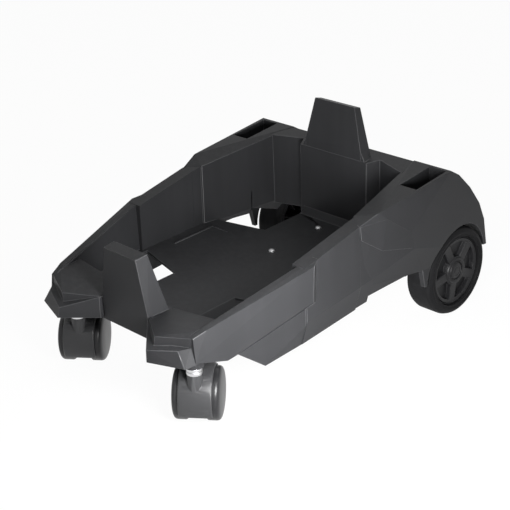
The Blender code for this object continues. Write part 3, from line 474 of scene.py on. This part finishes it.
    @staticmethod
    def strays(piece: bpy.types.Object, base: bpy.types.Object, reach: float) -> list[Vector]:
        """Corners of a rounded piece's faces that leave the surface of its base by more than a reach."""
        points = piece.data.vertices
        piece.data.calc_loop_triangles()
        found: set[int] = set()
        for part in piece.data.loop_triangles:
            corners = [points[index].co for index in part.vertices]
            middle = sum(corners, Vector()) / 3
            spots = (middle, *corners)
            if any((base.closest_point_on_mesh(spot)[1] - spot).length > reach for spot in spots):
                found.update(part.vertices)
        return [points[index].co.copy() for index in sorted(found)]

    @staticmethod
    def soften_sound(
        base: bpy.types.Object, width: float, segments: int, angle: float, corner: float, edge_slot: int
    ) -> bpy.types.Object:
        """Round the edges of a many-faced piece, in trial rounds that drop the edges where faces go astray.

        Args:
            base: The sharp piece, which is dropped at the end.
            width: Width of the rounding.
            segments: Faces across it.
            angle: Least angle of an edge that is rounded, in degrees.
            corner: Least angle of the face corners at its ends, in degrees.
            edge_slot: Material slot of the rounded faces.

        Returns:
            The rounded piece.
        """
        name = base.name
        shortest = 4.0 * width
        stray_reach = 0.75 * width
        drop_reach = 2.0 * width
        edges = Bench.sharp_edges(base.data, angle, corner, shortest)
        while True:
            piece = Bench.twin(base, name + "_rounded", Matrix())
            weights = piece.data.attributes.new("bevel_weight_edge", "FLOAT", "EDGE")
            for edge in piece.data.edges:
                weights.data[edge.index].value = 1.0 if edge.key in edges else 0.0
            Bench.apply(
                piece, "BEVEL", width=width, segments=segments, limit_method="WEIGHT", material=edge_slot,
                use_clamp_overlap=False, harden_normals=True,
            )
            astray = Bench.strays(piece, base, stray_reach)
            dropped: set[Edge] = set()
            for key in edges:
                first, last = (base.data.vertices[point].co for point in key)
                for spot in astray:
                    share = min(max(intersect_point_line(spot, first, last)[1], 0.0), 1.0)
                    if (first.lerp(last, share) - spot).length < drop_reach:
                        dropped.add(key)
            LOG.info("%s: %d edges rounded, %d dropped", name, len(edges), len(dropped))
            if not dropped:
                break
            edges -= dropped
            bpy.data.objects.remove(piece, do_unlink=True)
        bpy.data.objects.remove(base, do_unlink=True)
        piece.name = name
        piece.data.name = name
        return piece

    @staticmethod
    def smooth(obj: bpy.types.Object, angle: float = 35.0) -> None:
        """Shade an object smooth but for the edges sharper than an angle."""
        Bench.take(obj)
        bpy.ops.object.shade_smooth_by_angle(angle=math.radians(angle))

    @staticmethod
    def lay(obj: bpy.types.Object, matrix: Matrix) -> bpy.types.Object:
        """Put an object in place and write the place into its mesh."""
        obj.matrix_world = matrix
        Bench.take(obj)
        bpy.ops.object.transform_apply(location=True, rotation=True, scale=True)
        return obj

    @staticmethod
    def twin(obj: bpy.types.Object, name: str, matrix: Matrix) -> bpy.types.Object:
        """A copy with its own mesh, moved by a matrix."""
        copied = obj.copy()
        copied.data = obj.data.copy()
        copied.name = name
        copied.data.name = name
        bpy.context.scene.collection.objects.link(copied)
        return Bench.lay(copied, matrix)

    @staticmethod
    def join(name: str, pieces: Sequence[bpy.types.Object]) -> bpy.types.Object:
        """Several objects made one."""
        Bench.take(pieces[0])
        for piece in pieces:
            piece.select_set(True)
        bpy.ops.object.join()
        pieces[0].name = name
        pieces[0].data.name = name
        return pieces[0]

    @staticmethod
    def from_node(name: str, node: str, weld: float) -> bpy.types.Object:
        """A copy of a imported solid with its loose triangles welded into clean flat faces.

        Args:
            name: The new object's name.
            node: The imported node.
            weld: Distance under which points are merged.

        Returns:
            The copy.
        """
        Bench.clear()
        source = frame["nodes"][node]
        obj = bpy.data.objects.new(name, source.data.copy())
        obj.data.name = name
        obj.data.materials.clear()
        bpy.context.scene.collection.objects.link(obj)
        Bench.edit(obj)
        bpy.ops.mesh.customdata_custom_splitnormals_clear()
        bpy.ops.mesh.remove_doubles(threshold=1e-5)
        bpy.ops.mesh.dissolve_limited(angle_limit=math.radians(0.6))
        bpy.ops.mesh.select_all(action="SELECT")
        bpy.ops.mesh.remove_doubles(threshold=weld)
        bpy.ops.mesh.dissolve_degenerate(threshold=weld / 2)
        Bench.leave()
        return obj


def rounded(corners: Profile, radius: float, steps: int = 4) -> Profile:
    """A closed profile with its corners off the axis turned into small arcs.

    Args:
        corners: The sharp profile.
        radius: Reach of each arc along its sides.
        steps: Parts of each arc.

    Returns:
        The rounded profile.
    """
    result: Profile = []
    for index, corner in enumerate(corners):
        here = Vector(corner)
        if here.x < 1e-6:
            result.append((here.x, here.y))
            continue
        back = Vector(corners[index - 1]) - here
        ahead = Vector(corners[(index + 1) % len(corners)]) - here
        first = here + back.normalized() * min(radius, 0.45 * back.length)
        last = here + ahead.normalized() * min(radius, 0.45 * ahead.length)
        for step in range(steps + 1):
            share = step / steps
            point = first.lerp(here, share).lerp(here.lerp(last, share), share)
            result.append((point.x, point.y))
    return result


def along(direction: Sequence[float], place: Sequence[float]) -> Matrix:
    """The matrix that stands a piece turned about Z along a direction at a place."""
    turn = Vector((0.0, 0.0, 1.0)).rotation_difference(Vector(direction))
    return Matrix.Translation(Vector(place)) @ turn.to_matrix().to_4x4()


def hinge(name: str) -> tuple[Vector, Vector]:
    """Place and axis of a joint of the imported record."""
    found = next(joint for joint in frame["joints"] if joint["name"] == name)
    return Vector(found["pos_m"]), Vector(found["axis"])


def settle(
    piece: bpy.types.Object, body: str, slot: Slot, finishes: Sequence[bpy.types.Material], *nodes: str
) -> None:
    """Finish one piece: its materials, the body it rides on and the nodes it stands for.

    Args:
        piece: The piece.
        body: Body that carries it.
        slot: The record's material slot; not used.
        finishes: Materials, in slot order.
        nodes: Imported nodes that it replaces.
    """
    if not piece.data.materials:
        for finish in finishes:
            piece.data.materials.append(finish)
    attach(piece, body)
    if nodes:
        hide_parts(*nodes)
    LOG.info("%s: %d faces on %s", piece.name, len(piece.data.polygons), body)


@dataclass
class Studio:
    """White floor, soft lamps and the camera at the photograph's angle."""

    lens: float = 88.61
    sensor: float = 36.0
    azimuth: float = 45.43
    elevation: float = 24.46
    roll: float = -1.804
    distance: float = 1.7052
    target: Colour = (-0.06663, 0.04615, 0.07118)
    floor_half: float = 30.0
    far_clip: float = 100.0
    aim_height: float = 0.12
    ambient: float = 0.14
    floor_colour: Colour = (0.92, 0.92, 0.92)
    floor_glow: float = 0.96

    def build(self) -> None:
        """Set up the whole stage."""
        self.camera()
        self.floor()
        self.world()
        self.lamp("key_near_right", (0.38, -0.28, 0.23), 6.0, (0.20, 0.15))
        self.lamp("front_right", (1.3, -2.0, 0.6), 1.0, (1.0, 0.8))
        self.lamp("overhead", (0.15, 0.1, 2.2), 18.0, (1.8, 1.8))
        bpy.context.scene.view_settings.view_transform = "Standard"

    def camera(self) -> None:
        """Camera fitted to the moulding's corners in the photograph."""
        turn = math.radians(self.azimuth)
        rise = math.radians(self.elevation)
        lean = math.radians(self.roll)
        back = Vector((math.sin(turn) * math.cos(rise), -math.cos(turn) * math.cos(rise), math.sin(rise)))
        level = Vector((math.cos(turn), math.sin(turn), 0.0))
        above = back.cross(level)
        right = level * math.cos(lean) + above * math.sin(lean)
        up = above * math.cos(lean) - level * math.sin(lean)
        data = bpy.data.cameras.new("photo_camera")
        data.lens = self.lens
        data.sensor_width = self.sensor
        data.clip_end = self.far_clip
        eye = bpy.data.objects.new("photo_camera", data)
        bpy.context.scene.collection.objects.link(eye)
        turned = Matrix((right, up, back)).transposed().to_4x4()
        eye.matrix_world = Matrix.Translation(Vector(self.target) + back * self.distance) @ turned
        bpy.context.scene.camera = eye

    def floor(self) -> None:
        """Pale floor that shows white to the camera and keeps a soft shadow."""
        half = self.floor_half
        corners = [(-half, -half, 0.0), (half, -half, 0.0), (half, half, 0.0), (-half, half, 0.0)]
        floor = Bench.outline("studio_floor", corners)
        Bench.edit(floor)
        bpy.ops.mesh.edge_face_add()
        Bench.leave()
        made = bpy.data.materials.new("pale_floor")
        made.use_nodes = True
        graph = Graph(made.node_tree)
        seen = self.background_rays(graph)
        plain = graph.node("ShaderNodeBsdfDiffuse", None, {"Color": opaque(self.floor_colour)})
        glow = graph.node("ShaderNodeEmission", None, {"Color": WHITE, "Strength": 1.0})
        surface = graph.node("ShaderNodeMixShader", None, {0: seen * self.floor_glow, 1: plain, 2: glow})
        graph.node("ShaderNodeOutputMaterial", None, {"Surface": surface})
        floor.data.materials.append(made)

    def world(self) -> None:
        """Even room light, white where the camera, a gloss or a glass sees it."""
        world = bpy.data.worlds.new("studio")
        bpy.context.scene.world = world
        world.use_nodes = True
        graph = Graph(world.node_tree)
        seen = self.background_rays(graph)
        room = graph.node("ShaderNodeBackground", None, {"Strength": self.ambient})
        white = graph.node("ShaderNodeBackground", None, {"Color": WHITE, "Strength": 1.0})
        surface = graph.node("ShaderNodeMixShader", None, {0: seen, 1: room, 2: white})
        graph.node("ShaderNodeOutputWorld", None, {"Surface": surface})

    @staticmethod
    def background_rays(graph: Graph) -> Wire:
        """One where the camera, a gloss or a glass looks."""
        seen = graph.node("ShaderNodeLightPath", out="Is Camera Ray")
        gloss = graph.node("ShaderNodeLightPath", out="Is Glossy Ray")
        glass = graph.node("ShaderNodeLightPath", out="Is Transmission Ray")
        return seen.larger(gloss).larger(glass)

    def lamp(self, name: str, place: Colour, power: float, size: tuple[float, float]) -> None:
        """One soft box that looks at the middle of the cradle and is hidden from the camera."""
        data = bpy.data.lights.new(name, "AREA")
        data.shape = "RECTANGLE"
        data.size, data.size_y = size
        data.energy = power
        lamp = bpy.data.objects.new(name, data)
        lamp.visible_camera = False
        bpy.context.scene.collection.objects.link(lamp)
        aim = Vector(place) - Vector((0.0, 0.0, self.aim_height))
        lamp.matrix_world = Matrix.Translation(place) @ aim.to_track_quat("Z", "Y").to_matrix().to_4x4()


@dataclass
class Moulding:
    """The one-piece tub, with its edges rounded as a moulding's are."""

    weld: float = 0.0001
    edge: float = 0.0007
    segments: int = 3
    least_angle: float = 26.0
    least_corner: float = 10.0
    crease: float = 4.0
    edge_slot: int = 1

    def build(self, plastic: bpy.types.Material, rub_and_highlight: bpy.types.Material) -> None:
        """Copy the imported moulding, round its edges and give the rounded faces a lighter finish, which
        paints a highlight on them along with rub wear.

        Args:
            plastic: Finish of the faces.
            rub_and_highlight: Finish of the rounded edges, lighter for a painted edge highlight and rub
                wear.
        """
        sharp = Bench.from_node("tub_moulding", CHASSIS, self.weld)
        sharp.data.materials.append(plastic)
        sharp.data.materials.append(rub_and_highlight)
        Bench.smooth(sharp, self.crease)
        tub = Bench.soften_sound(
            sharp, self.edge, self.segments, self.least_angle, self.least_corner, self.edge_slot
        )
        settle(tub, CHASSIS, Slot.MOULDING, (), CHASSIS)


@dataclass
class FlarePad:
    """The raised facet on the outside of a wheel arch, which stands off along its lower edge."""

    side: Side
    root: float = 0.006
    edge: float = 0.0006
    segments: int = 3
    least_angle: float = 40.0
    flatness: float = 1.0
    edge_slot: int = 1
    corners: tuple[Colour, ...] = (
        (0.1557, 0.004, 0.1880), (0.1638, 0.044, 0.1885), (0.1669, 0.088, 0.1580),
        (0.1669, 0.094, 0.1340), (0.1640, 0.036, 0.1490), (0.1573, 0.004, 0.1710),
    )

    def build(self, plastic: bpy.types.Material, rub_and_highlight: bpy.types.Material) -> None:
        """Draw the facet's outline, fill it, root it in the arch and split its bent faces into flat ones.

        Args:
            plastic: Finish of the faces.
            rub_and_highlight: Finish of the rounded edges, lighter for a painted edge highlight and rub
                wear.
        """
        sign = self.side.value
        pad = Bench.outline(f"flare_pad_{self.side.label}", [(sign * x, y, z) for x, y, z in self.corners])
        Bench.edit(pad)
        bpy.ops.mesh.edge_face_add()
        bpy.ops.mesh.extrude_region_move(TRANSFORM_OT_translate={"value": (-sign * self.root, 0.0, 0.0)})
        bpy.ops.mesh.select_all(action="SELECT")
        bpy.ops.mesh.vert_connect_nonplanar(angle_limit=math.radians(self.flatness))
        bpy.ops.mesh.normals_make_consistent(inside=False)
        Bench.leave()
        pad.data.materials.append(plastic)
        pad.data.materials.append(rub_and_highlight)
        Bench.soften(pad, self.edge, self.segments, self.least_angle, self.edge_slot)
        settle(pad, CHASSIS, Slot.MOULDING, ())


@dataclass
class RearWheel:
    """A rear wheel: tyre, pocketed rim with ribs behind its web, and hub cap."""

    side: Side
    radius: float = 0.061
    width: float = 0.040
    tyre_depth: float = 0.0135
    shoulder: float = 0.0065
    recess: float = 0.003
    barrel: float = 0.005
    barrel_back: float = 0.004
    web: float = 0.013
    hub: float = 0.019
    hub_back: float = -0.0069
    bore: float = 0.0098
    boss_rise: float = 0.0012
    cap_seat: float = 0.0120
    cap_seat_depth: float = 0.011
    cap_radius: float = 0.0117
    cap_depth: float = 0.003
    lip: float = 0.0010
    ridge: float = 0.0005
    pocket_phase: float = math.radians(10.0)
    pocket_depth: float = 0.007
    pocket_count: int = 5
    pocket_steps: int = 8
    pocket_margin: float = 0.002
    spoke: float = 0.013
    rib_count: int = 10
    rib_thickness: float = 0.0018
    rib_start: float = 0.009
    rib_bite: float = 0.0004
    sides: int = 96

    @property
    def body(self) -> str:
        """The body that the wheel is."""
        return f"rear_wheel_{self.side.label}"

    @property
    def seat(self) -> float:
        """Radius where the tyre sits on the rim."""
        return self.radius - self.tyre_depth

    def stand(self) -> Matrix:
        """Place of the wheel's inner face, with Z pointing outwards along the axle."""
        place, axis = hinge(f"{self.body}_roll")
        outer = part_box(f"tyre_{self.side.label}")[1 if self.side is Side.RIGHT else 0].x
        place.x = outer - self.side.value * self.width
        return along(axis * self.side.value, place)

    def tyre(self) -> bpy.types.Object:
        """Tyre section with soft shoulders, a ridge round each and a shallow ring in the sidewall."""
        edge = self.shoulder
        half = [
            (self.seat + FIT_GAP, 0.0), (self.seat + 0.0020, 0.0), (self.seat + 0.0024, 0.0006),
            (self.seat + 0.0036, 0.0006), (self.seat + 0.0040, 0.0), (self.radius - edge - 0.0020, 0.0),
            (self.radius - edge - 0.0014, -self.ridge), (self.radius - edge, -self.ridge),
            (self.radius - 0.3 * edge, 0.3 * edge), (self.radius, edge),
        ]
        corners = half + [(radius, self.width - height) for radius, height in reversed(half)]
        return Bench.turned(f"wheel_tyre_{self.side.label}", rounded(corners, 0.0009, 3), self.sides)

    def rim(self) -> bpy.types.Object:
        """Rim with a grooved edge, a recessed face and five pockets between its spokes."""
        face = self.width - self.recess
        back = face - self.web
        outer = self.seat - FIT_GAP
        inside = outer - self.barrel
        cap_floor = face - self.cap_seat_depth
        boss = face + self.boss_rise
        corners = [
            (outer, face - 0.0005), (outer, self.barrel_back), (inside, self.barrel_back), (inside, back),
            (self.hub, back), (self.hub, self.hub_back), (self.bore, self.hub_back), (self.bore, cap_floor),
            (self.cap_seat, cap_floor), (self.cap_seat, boss), (self.hub - self.lip, boss),
            (self.hub, face - self.lip), (outer - 0.0042, face - self.lip), (outer - 0.0034, face),
            (outer - 0.0020, face), (outer - 0.0016, face - 0.0018), (outer - 0.0008, face - 0.0018),
        ]
        rim = Bench.turned(f"wheel_rim_{self.side.label}", rounded(corners, 0.0004, 2), self.sides)
        Bench.cut(rim, [self.pocket(index, face) for index in range(self.pocket_count)])
        Bench.soften(rim, 0.0007, 3, 40.0)
        return rim

    def pocket(self, index: int, face: float) -> bpy.types.Object:
        """Cutter of one pocket, a wedge between two spokes.

        Args:
            index: Number of the pocket.
            face: Height of the rim's outer face.

        Returns:
            The cutter.
        """
        half = math.pi / self.pocket_count
        middle = math.pi / 2 + self.side.value * self.pocket_phase + 2 * half * index
        plan: Profile = []
        inner = self.hub + self.lip
        outer = self.seat - self.barrel - self.pocket_margin
        for radius, order in ((inner, 1.0), (outer, -1.0)):
            reach = half - math.asin(self.spoke / 2 / radius)
            for step in range(self.pocket_steps + 1):
                turn = middle + order * reach * (2.0 * step / self.pocket_steps - 1.0)
                plan.append((radius * math.cos(turn), radius * math.sin(turn)))
        return Bench.extruded("pocket_cutter", plan, face - self.pocket_depth, self.width)

    def ribs(self) -> bpy.types.Object:
        """Radial ribs behind the web, between the hub and the barrel."""
        back = self.width - self.recess - self.web
        inner = self.hub - self.lip
        outer = self.seat - self.barrel
        half = self.rib_thickness / 2
        plan = [(inner, -half), (outer, -half), (outer, half), (inner, half)]
        first = Bench.extruded("rib", plan, self.rib_start, back + self.rib_bite)
        Bench.soften(first, 0.0004, 2, 40.0)
        turns = [FULL_TURN * index / self.rib_count for index in range(1, self.rib_count)]
        others = [Bench.twin(first, "rib", Matrix.Rotation(turn, 4, "Z")) for turn in turns]
        return Bench.join(f"wheel_ribs_{self.side.label}", [first, *others])

    def cap(self) -> bpy.types.Object:
        """Domed hub cap with a shallow ring."""
        face = self.width - self.recess
        corners = [
            (0.0, face + 0.0016), (0.0045, face + 0.0016), (0.0052, face + 0.0010), (0.0064, face + 0.0010),
            (0.0070, face + 0.0015), (0.0098, face + 0.0010), (self.cap_radius, face),
            (self.cap_radius, face - self.cap_depth), (0.0, face - self.cap_depth),
        ]
        return Bench.turned(f"wheel_cap_{self.side.label}", rounded(corners, 0.0004, 3), self.sides // 2)

    def build(self, rubber: bpy.types.Material, plastic: bpy.types.Material) -> None:
        """Make the wheel's pieces and set them in place.

        Args:
            rubber: Finish of the tyre.
            plastic: Finish of the rim, ribs and cap.
        """
        stand = self.stand()
        label = self.side.label
        made = (
            (self.tyre(), Slot.TYRE, rubber, (f"tyre_{label}",)),
            (self.rim(), Slot.WHEEL, plastic, (f"rim_{label}",)),
            (self.ribs(), Slot.WHEEL, plastic, ()),
            (self.cap(), Slot.WHEEL, plastic, (f"hub_cap_{label}",)),
        )
        for piece, slot, finish, nodes in made:
            Bench.lay(piece, stand)
            Bench.smooth(piece)
            settle(piece, self.body, slot, (finish,), *nodes)


@dataclass
class Caster:
    """A twin-wheel caster: hood with its boss, two domed discs and the bright collar on the stem."""

    side: Side
    wheel_radius: float = 0.032
    wheel_width: float = 0.018
    web: float = 0.022
    bore: float = 0.0033
    bore_depth: float = 0.85
    collar_bore: float = 0.0058
    groove: float = 0.0008
    hood_weld: float = 0.0002
    hood_edge: float = 0.0005
    hood_least_angle: float = 32.0
    hood_crease: float = 30.0
    sides: int = 72

    @property
    def body(self) -> str:
        """The body that swivels."""
        return f"caster_{self.side.label}"

    def disc(self, name: str) -> bpy.types.Object:
        """One wheel with a flat tread and a plain domed face over the blind bore of its pin."""
        radius = self.wheel_radius
        width = self.wheel_width
        corners = [
            (self.bore, 0.0), (radius - 0.0015, 0.0), (radius, 0.0015), (radius, 0.66 * width),
            (0.985 * radius, 0.76 * width), (0.95 * radius, 0.84 * width), (0.88 * radius, 0.90 * width),
            (0.78 * radius, 0.94 * width), (0.60 * radius, 0.972 * width), (0.45 * radius, 0.99 * width),
            (0.22 * radius, width), (0.0, width), (0.0, self.bore_depth * width),
            (self.bore, self.bore_depth * width),
        ]
        return Bench.turned(name, rounded(corners, 0.0007, 3), self.sides)

    def collar(self, low: Vector, high: Vector) -> bpy.types.Object:
        """Bright ring round the stem, grooved once."""
        outer = (high.x - low.x) / 2
        inner = self.collar_bore
        middle = (low.z + high.z) / 2
        depth = outer - self.groove
        half = self.groove / 2
        corners = [
            (inner, low.z), (outer, low.z), (outer, middle - self.groove), (depth, middle - half),
            (depth, middle + half), (outer, middle + self.groove), (outer, high.z - 0.001),
            (outer - 0.001, high.z), (inner, high.z),
        ]
        return Bench.turned(f"stem_collar_{self.side.label}", rounded(corners, 0.0003, 2), self.sides)

    def hood(self) -> bpy.types.Object:
        """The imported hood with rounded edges."""
        hood = Bench.from_node(f"hood_{self.side.label}", f"caster_hood_{self.side.label}", self.hood_weld)
        Bench.soften(hood, self.hood_edge, 2, self.hood_least_angle)
        Bench.smooth(hood, self.hood_crease)
        return hood

    def build(
        self, plastic: bpy.types.Material, tread: bpy.types.Material, bright: bpy.types.Material
    ) -> None:
        """Make the caster's pieces and set them in place.

        Args:
            plastic: Finish of the hood.
            tread: Finish of the discs.
            bright: Finish of the collar.
        """
        label = self.side.label
        settle(self.hood(), self.body, Slot.WHEEL, (plastic,), f"caster_hood_{label}")
        low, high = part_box(f"caster_collar_{label}")
        collar = self.collar(low, high)
        swivel, _ = hinge(f"{self.body}_swivel")
        Bench.lay(collar, Matrix.Translation((swivel.x, swivel.y, 0.0)))
        Bench.smooth(collar)
        settle(collar, self.body, Slot.COLLAR, (bright,), f"caster_collar_{label}")
        for name, turn in (("inner", -1.0), ("outer", 1.0)):
            place, axis = hinge(f"{self.body}_wheel_{name}_roll")
            disc = self.disc(f"caster_disc_{name}_{label}")
            outwards = axis * turn
            Bench.lay(disc, along(outwards, place + outwards * (self.web / 2 + FIT_GAP)))
            Bench.smooth(disc)
            node = f"caster_wheel_{name}_{label}"
            settle(disc, f"{self.body}_wheel_{name}", Slot.CASTER_WHEEL, (tread,), node)


@dataclass
class Hardware:
    """Axle, washers and floor studs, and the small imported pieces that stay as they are."""

    sides: int = 48
    chamfer: float = 0.0008
    washer_bore: float = 0.0063

    def axle(self, bright: bpy.types.Material) -> None:
        """Bright axle with chamfered ends."""
        low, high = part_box("rear_axle")
        radius = (high.z - low.z) / 2
        corners = [
            (0.0, low.x), (radius - self.chamfer, low.x), (radius, low.x + self.chamfer),
            (radius, high.x - self.chamfer), (radius - self.chamfer, high.x), (0.0, high.x),
        ]
        axle = Bench.turned("wheel_axle", corners, self.sides)
        middle = (low + high) / 2
        Bench.lay(axle, along((1.0, 0.0, 0.0), (0.0, middle.y, middle.z)))
        Bench.smooth(axle)
        settle(axle, CHASSIS, Slot.STEEL, (bright,), "rear_axle")

    def washer(self, side: Side, bright: bpy.types.Material) -> None:
        """Flat washer between the axle lug and the hub."""
        node = f"axle_washer_{side.label}"
        low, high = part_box(node)
        outer = (high.z - low.z) / 2
        inner = self.washer_bore
        corners = [(inner, low.x), (outer, low.x), (outer, high.x), (inner, high.x)]
        washer = Bench.turned(f"hub_washer_{side.label}", rounded(corners, 0.0003, 2), self.sides)
        middle = (low + high) / 2
        Bench.lay(washer, along((1.0, 0.0, 0.0), (0.0, middle.y, middle.z)))
        Bench.smooth(washer)
        settle(washer, CHASSIS, Slot.STEEL, (bright,), node)

    def stud(self, node: str, bright: bpy.types.Material) -> None:
        """Round stud with a domed top, standing through the floor."""
        low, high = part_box(node)
        radius = (high.x - low.x) / 2
        corners = [
            (0.0, high.z), (0.35 * radius, high.z - 0.0001), (0.65 * radius, high.z - 0.0005),
            (0.88 * radius, high.z - 0.0012), (radius, high.z - 0.0022), (radius, low.z), (0.0, low.z),
        ]
        stud = Bench.turned(f"{node}_head", rounded(corners, 0.0003, 2), self.sides)
        middle = (low + high) / 2
        Bench.lay(stud, Matrix.Translation((middle.x, middle.y, 0.0)))
        Bench.smooth(stud)
        settle(stud, CHASSIS, Slot.STUD, (bright,), node)

    def carry_over(self, steel: bpy.types.Material, nylon: bpy.types.Material) -> None:
        """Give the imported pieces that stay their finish."""
        kept = (
            ("hub_bush", nylon), ("caster_sleeve", nylon), ("axle_retainer", steel),
            ("caster_stem", steel), ("caster_pin", steel),
        )
        for side in Side:
            for node, finish in kept:
                mesh = frame["nodes"][f"{node}_{side.label}"].data
                mesh.materials.clear()
                mesh.materials.append(finish)

    def build(self, steel: bpy.types.Material, zinc: bpy.types.Material, nylon: bpy.types.Material) -> None:
        """Make all of the hardware.

        Args:
            steel: Finish of the axle and washers.
            zinc: Finish of the studs.
            nylon: Finish of the bushes and sleeves.
        """
        self.axle(steel)
        for side in Side:
            self.washer(side, steel)
        for node in ("floor_stud_front", "floor_stud_rear"):
            self.stud(node, zinc)
        self.carry_over(steel, nylon)


def main() -> None:
    """Build the stage, the finishes and every piece in order."""
    logging.basicConfig(level=logging.INFO, format="%(name)s: %(message)s")
    Studio().build()
    charcoal = Moulded("charcoal_moulding", (0.018, 0.0182, 0.0194), 0.46, 0.10, dust=0.02).material()
    # Lighter finish for the rounded edges: a painted edge highlight, along with rub wear.
    rub_and_highlight = Moulded("rubbed_edge", (0.032, 0.0324, 0.0342), 0.42, 0.22, flow=0.25, dust=0.02).material()
    hood = Moulded("caster_hood_plastic", (0.022, 0.0222, 0.0234), 0.42, 0.35, dust=0.0).material()
    black = Moulded("black_wheel_plastic", (0.010, 0.010, 0.0108), 0.42, 0.16, dust=0.0).material()
    disc = Moulded("black_disc", (0.010, 0.010, 0.0108), 0.34, 0.28, grain_depth=0.00002, dust=0.0)
    tread = disc.material()
    nylon = Moulded("bearing_nylon", (0.55, 0.54, 0.50), 0.50, 0.40, flow=0.06).material()
    steel = Plated("bright_steel", (0.72, 0.72, 0.73), 0.24, 0.40, stretch=(1.0, 0.1, 0.1)).material()
    collar = Plated("collar_plate", (0.66, 0.66, 0.67), 0.30, 0.05).material()
    zinc = Plated("dull_zinc", (0.30, 0.30, 0.305), 0.48, 0.25).material()
    Moulding().build(charcoal, rub_and_highlight)
    for side in Side:
        FlarePad(side).build(charcoal, rub_and_highlight)
        hub, _ = hinge(f"rear_wheel_{side.label}_roll")
        rubber = Rubber(f"tyre_rubber_{side.label}", (0.007, 0.007, 0.0075), 0.62, 0.08, tuple(hub))
        RearWheel(side).build(rubber.material(), black)
        Caster(side).build(hood, tread, collar)
    Hardware().build(steel, zinc, nylon)
    Bench.clear()


if __name__ == "__main__":
    main()
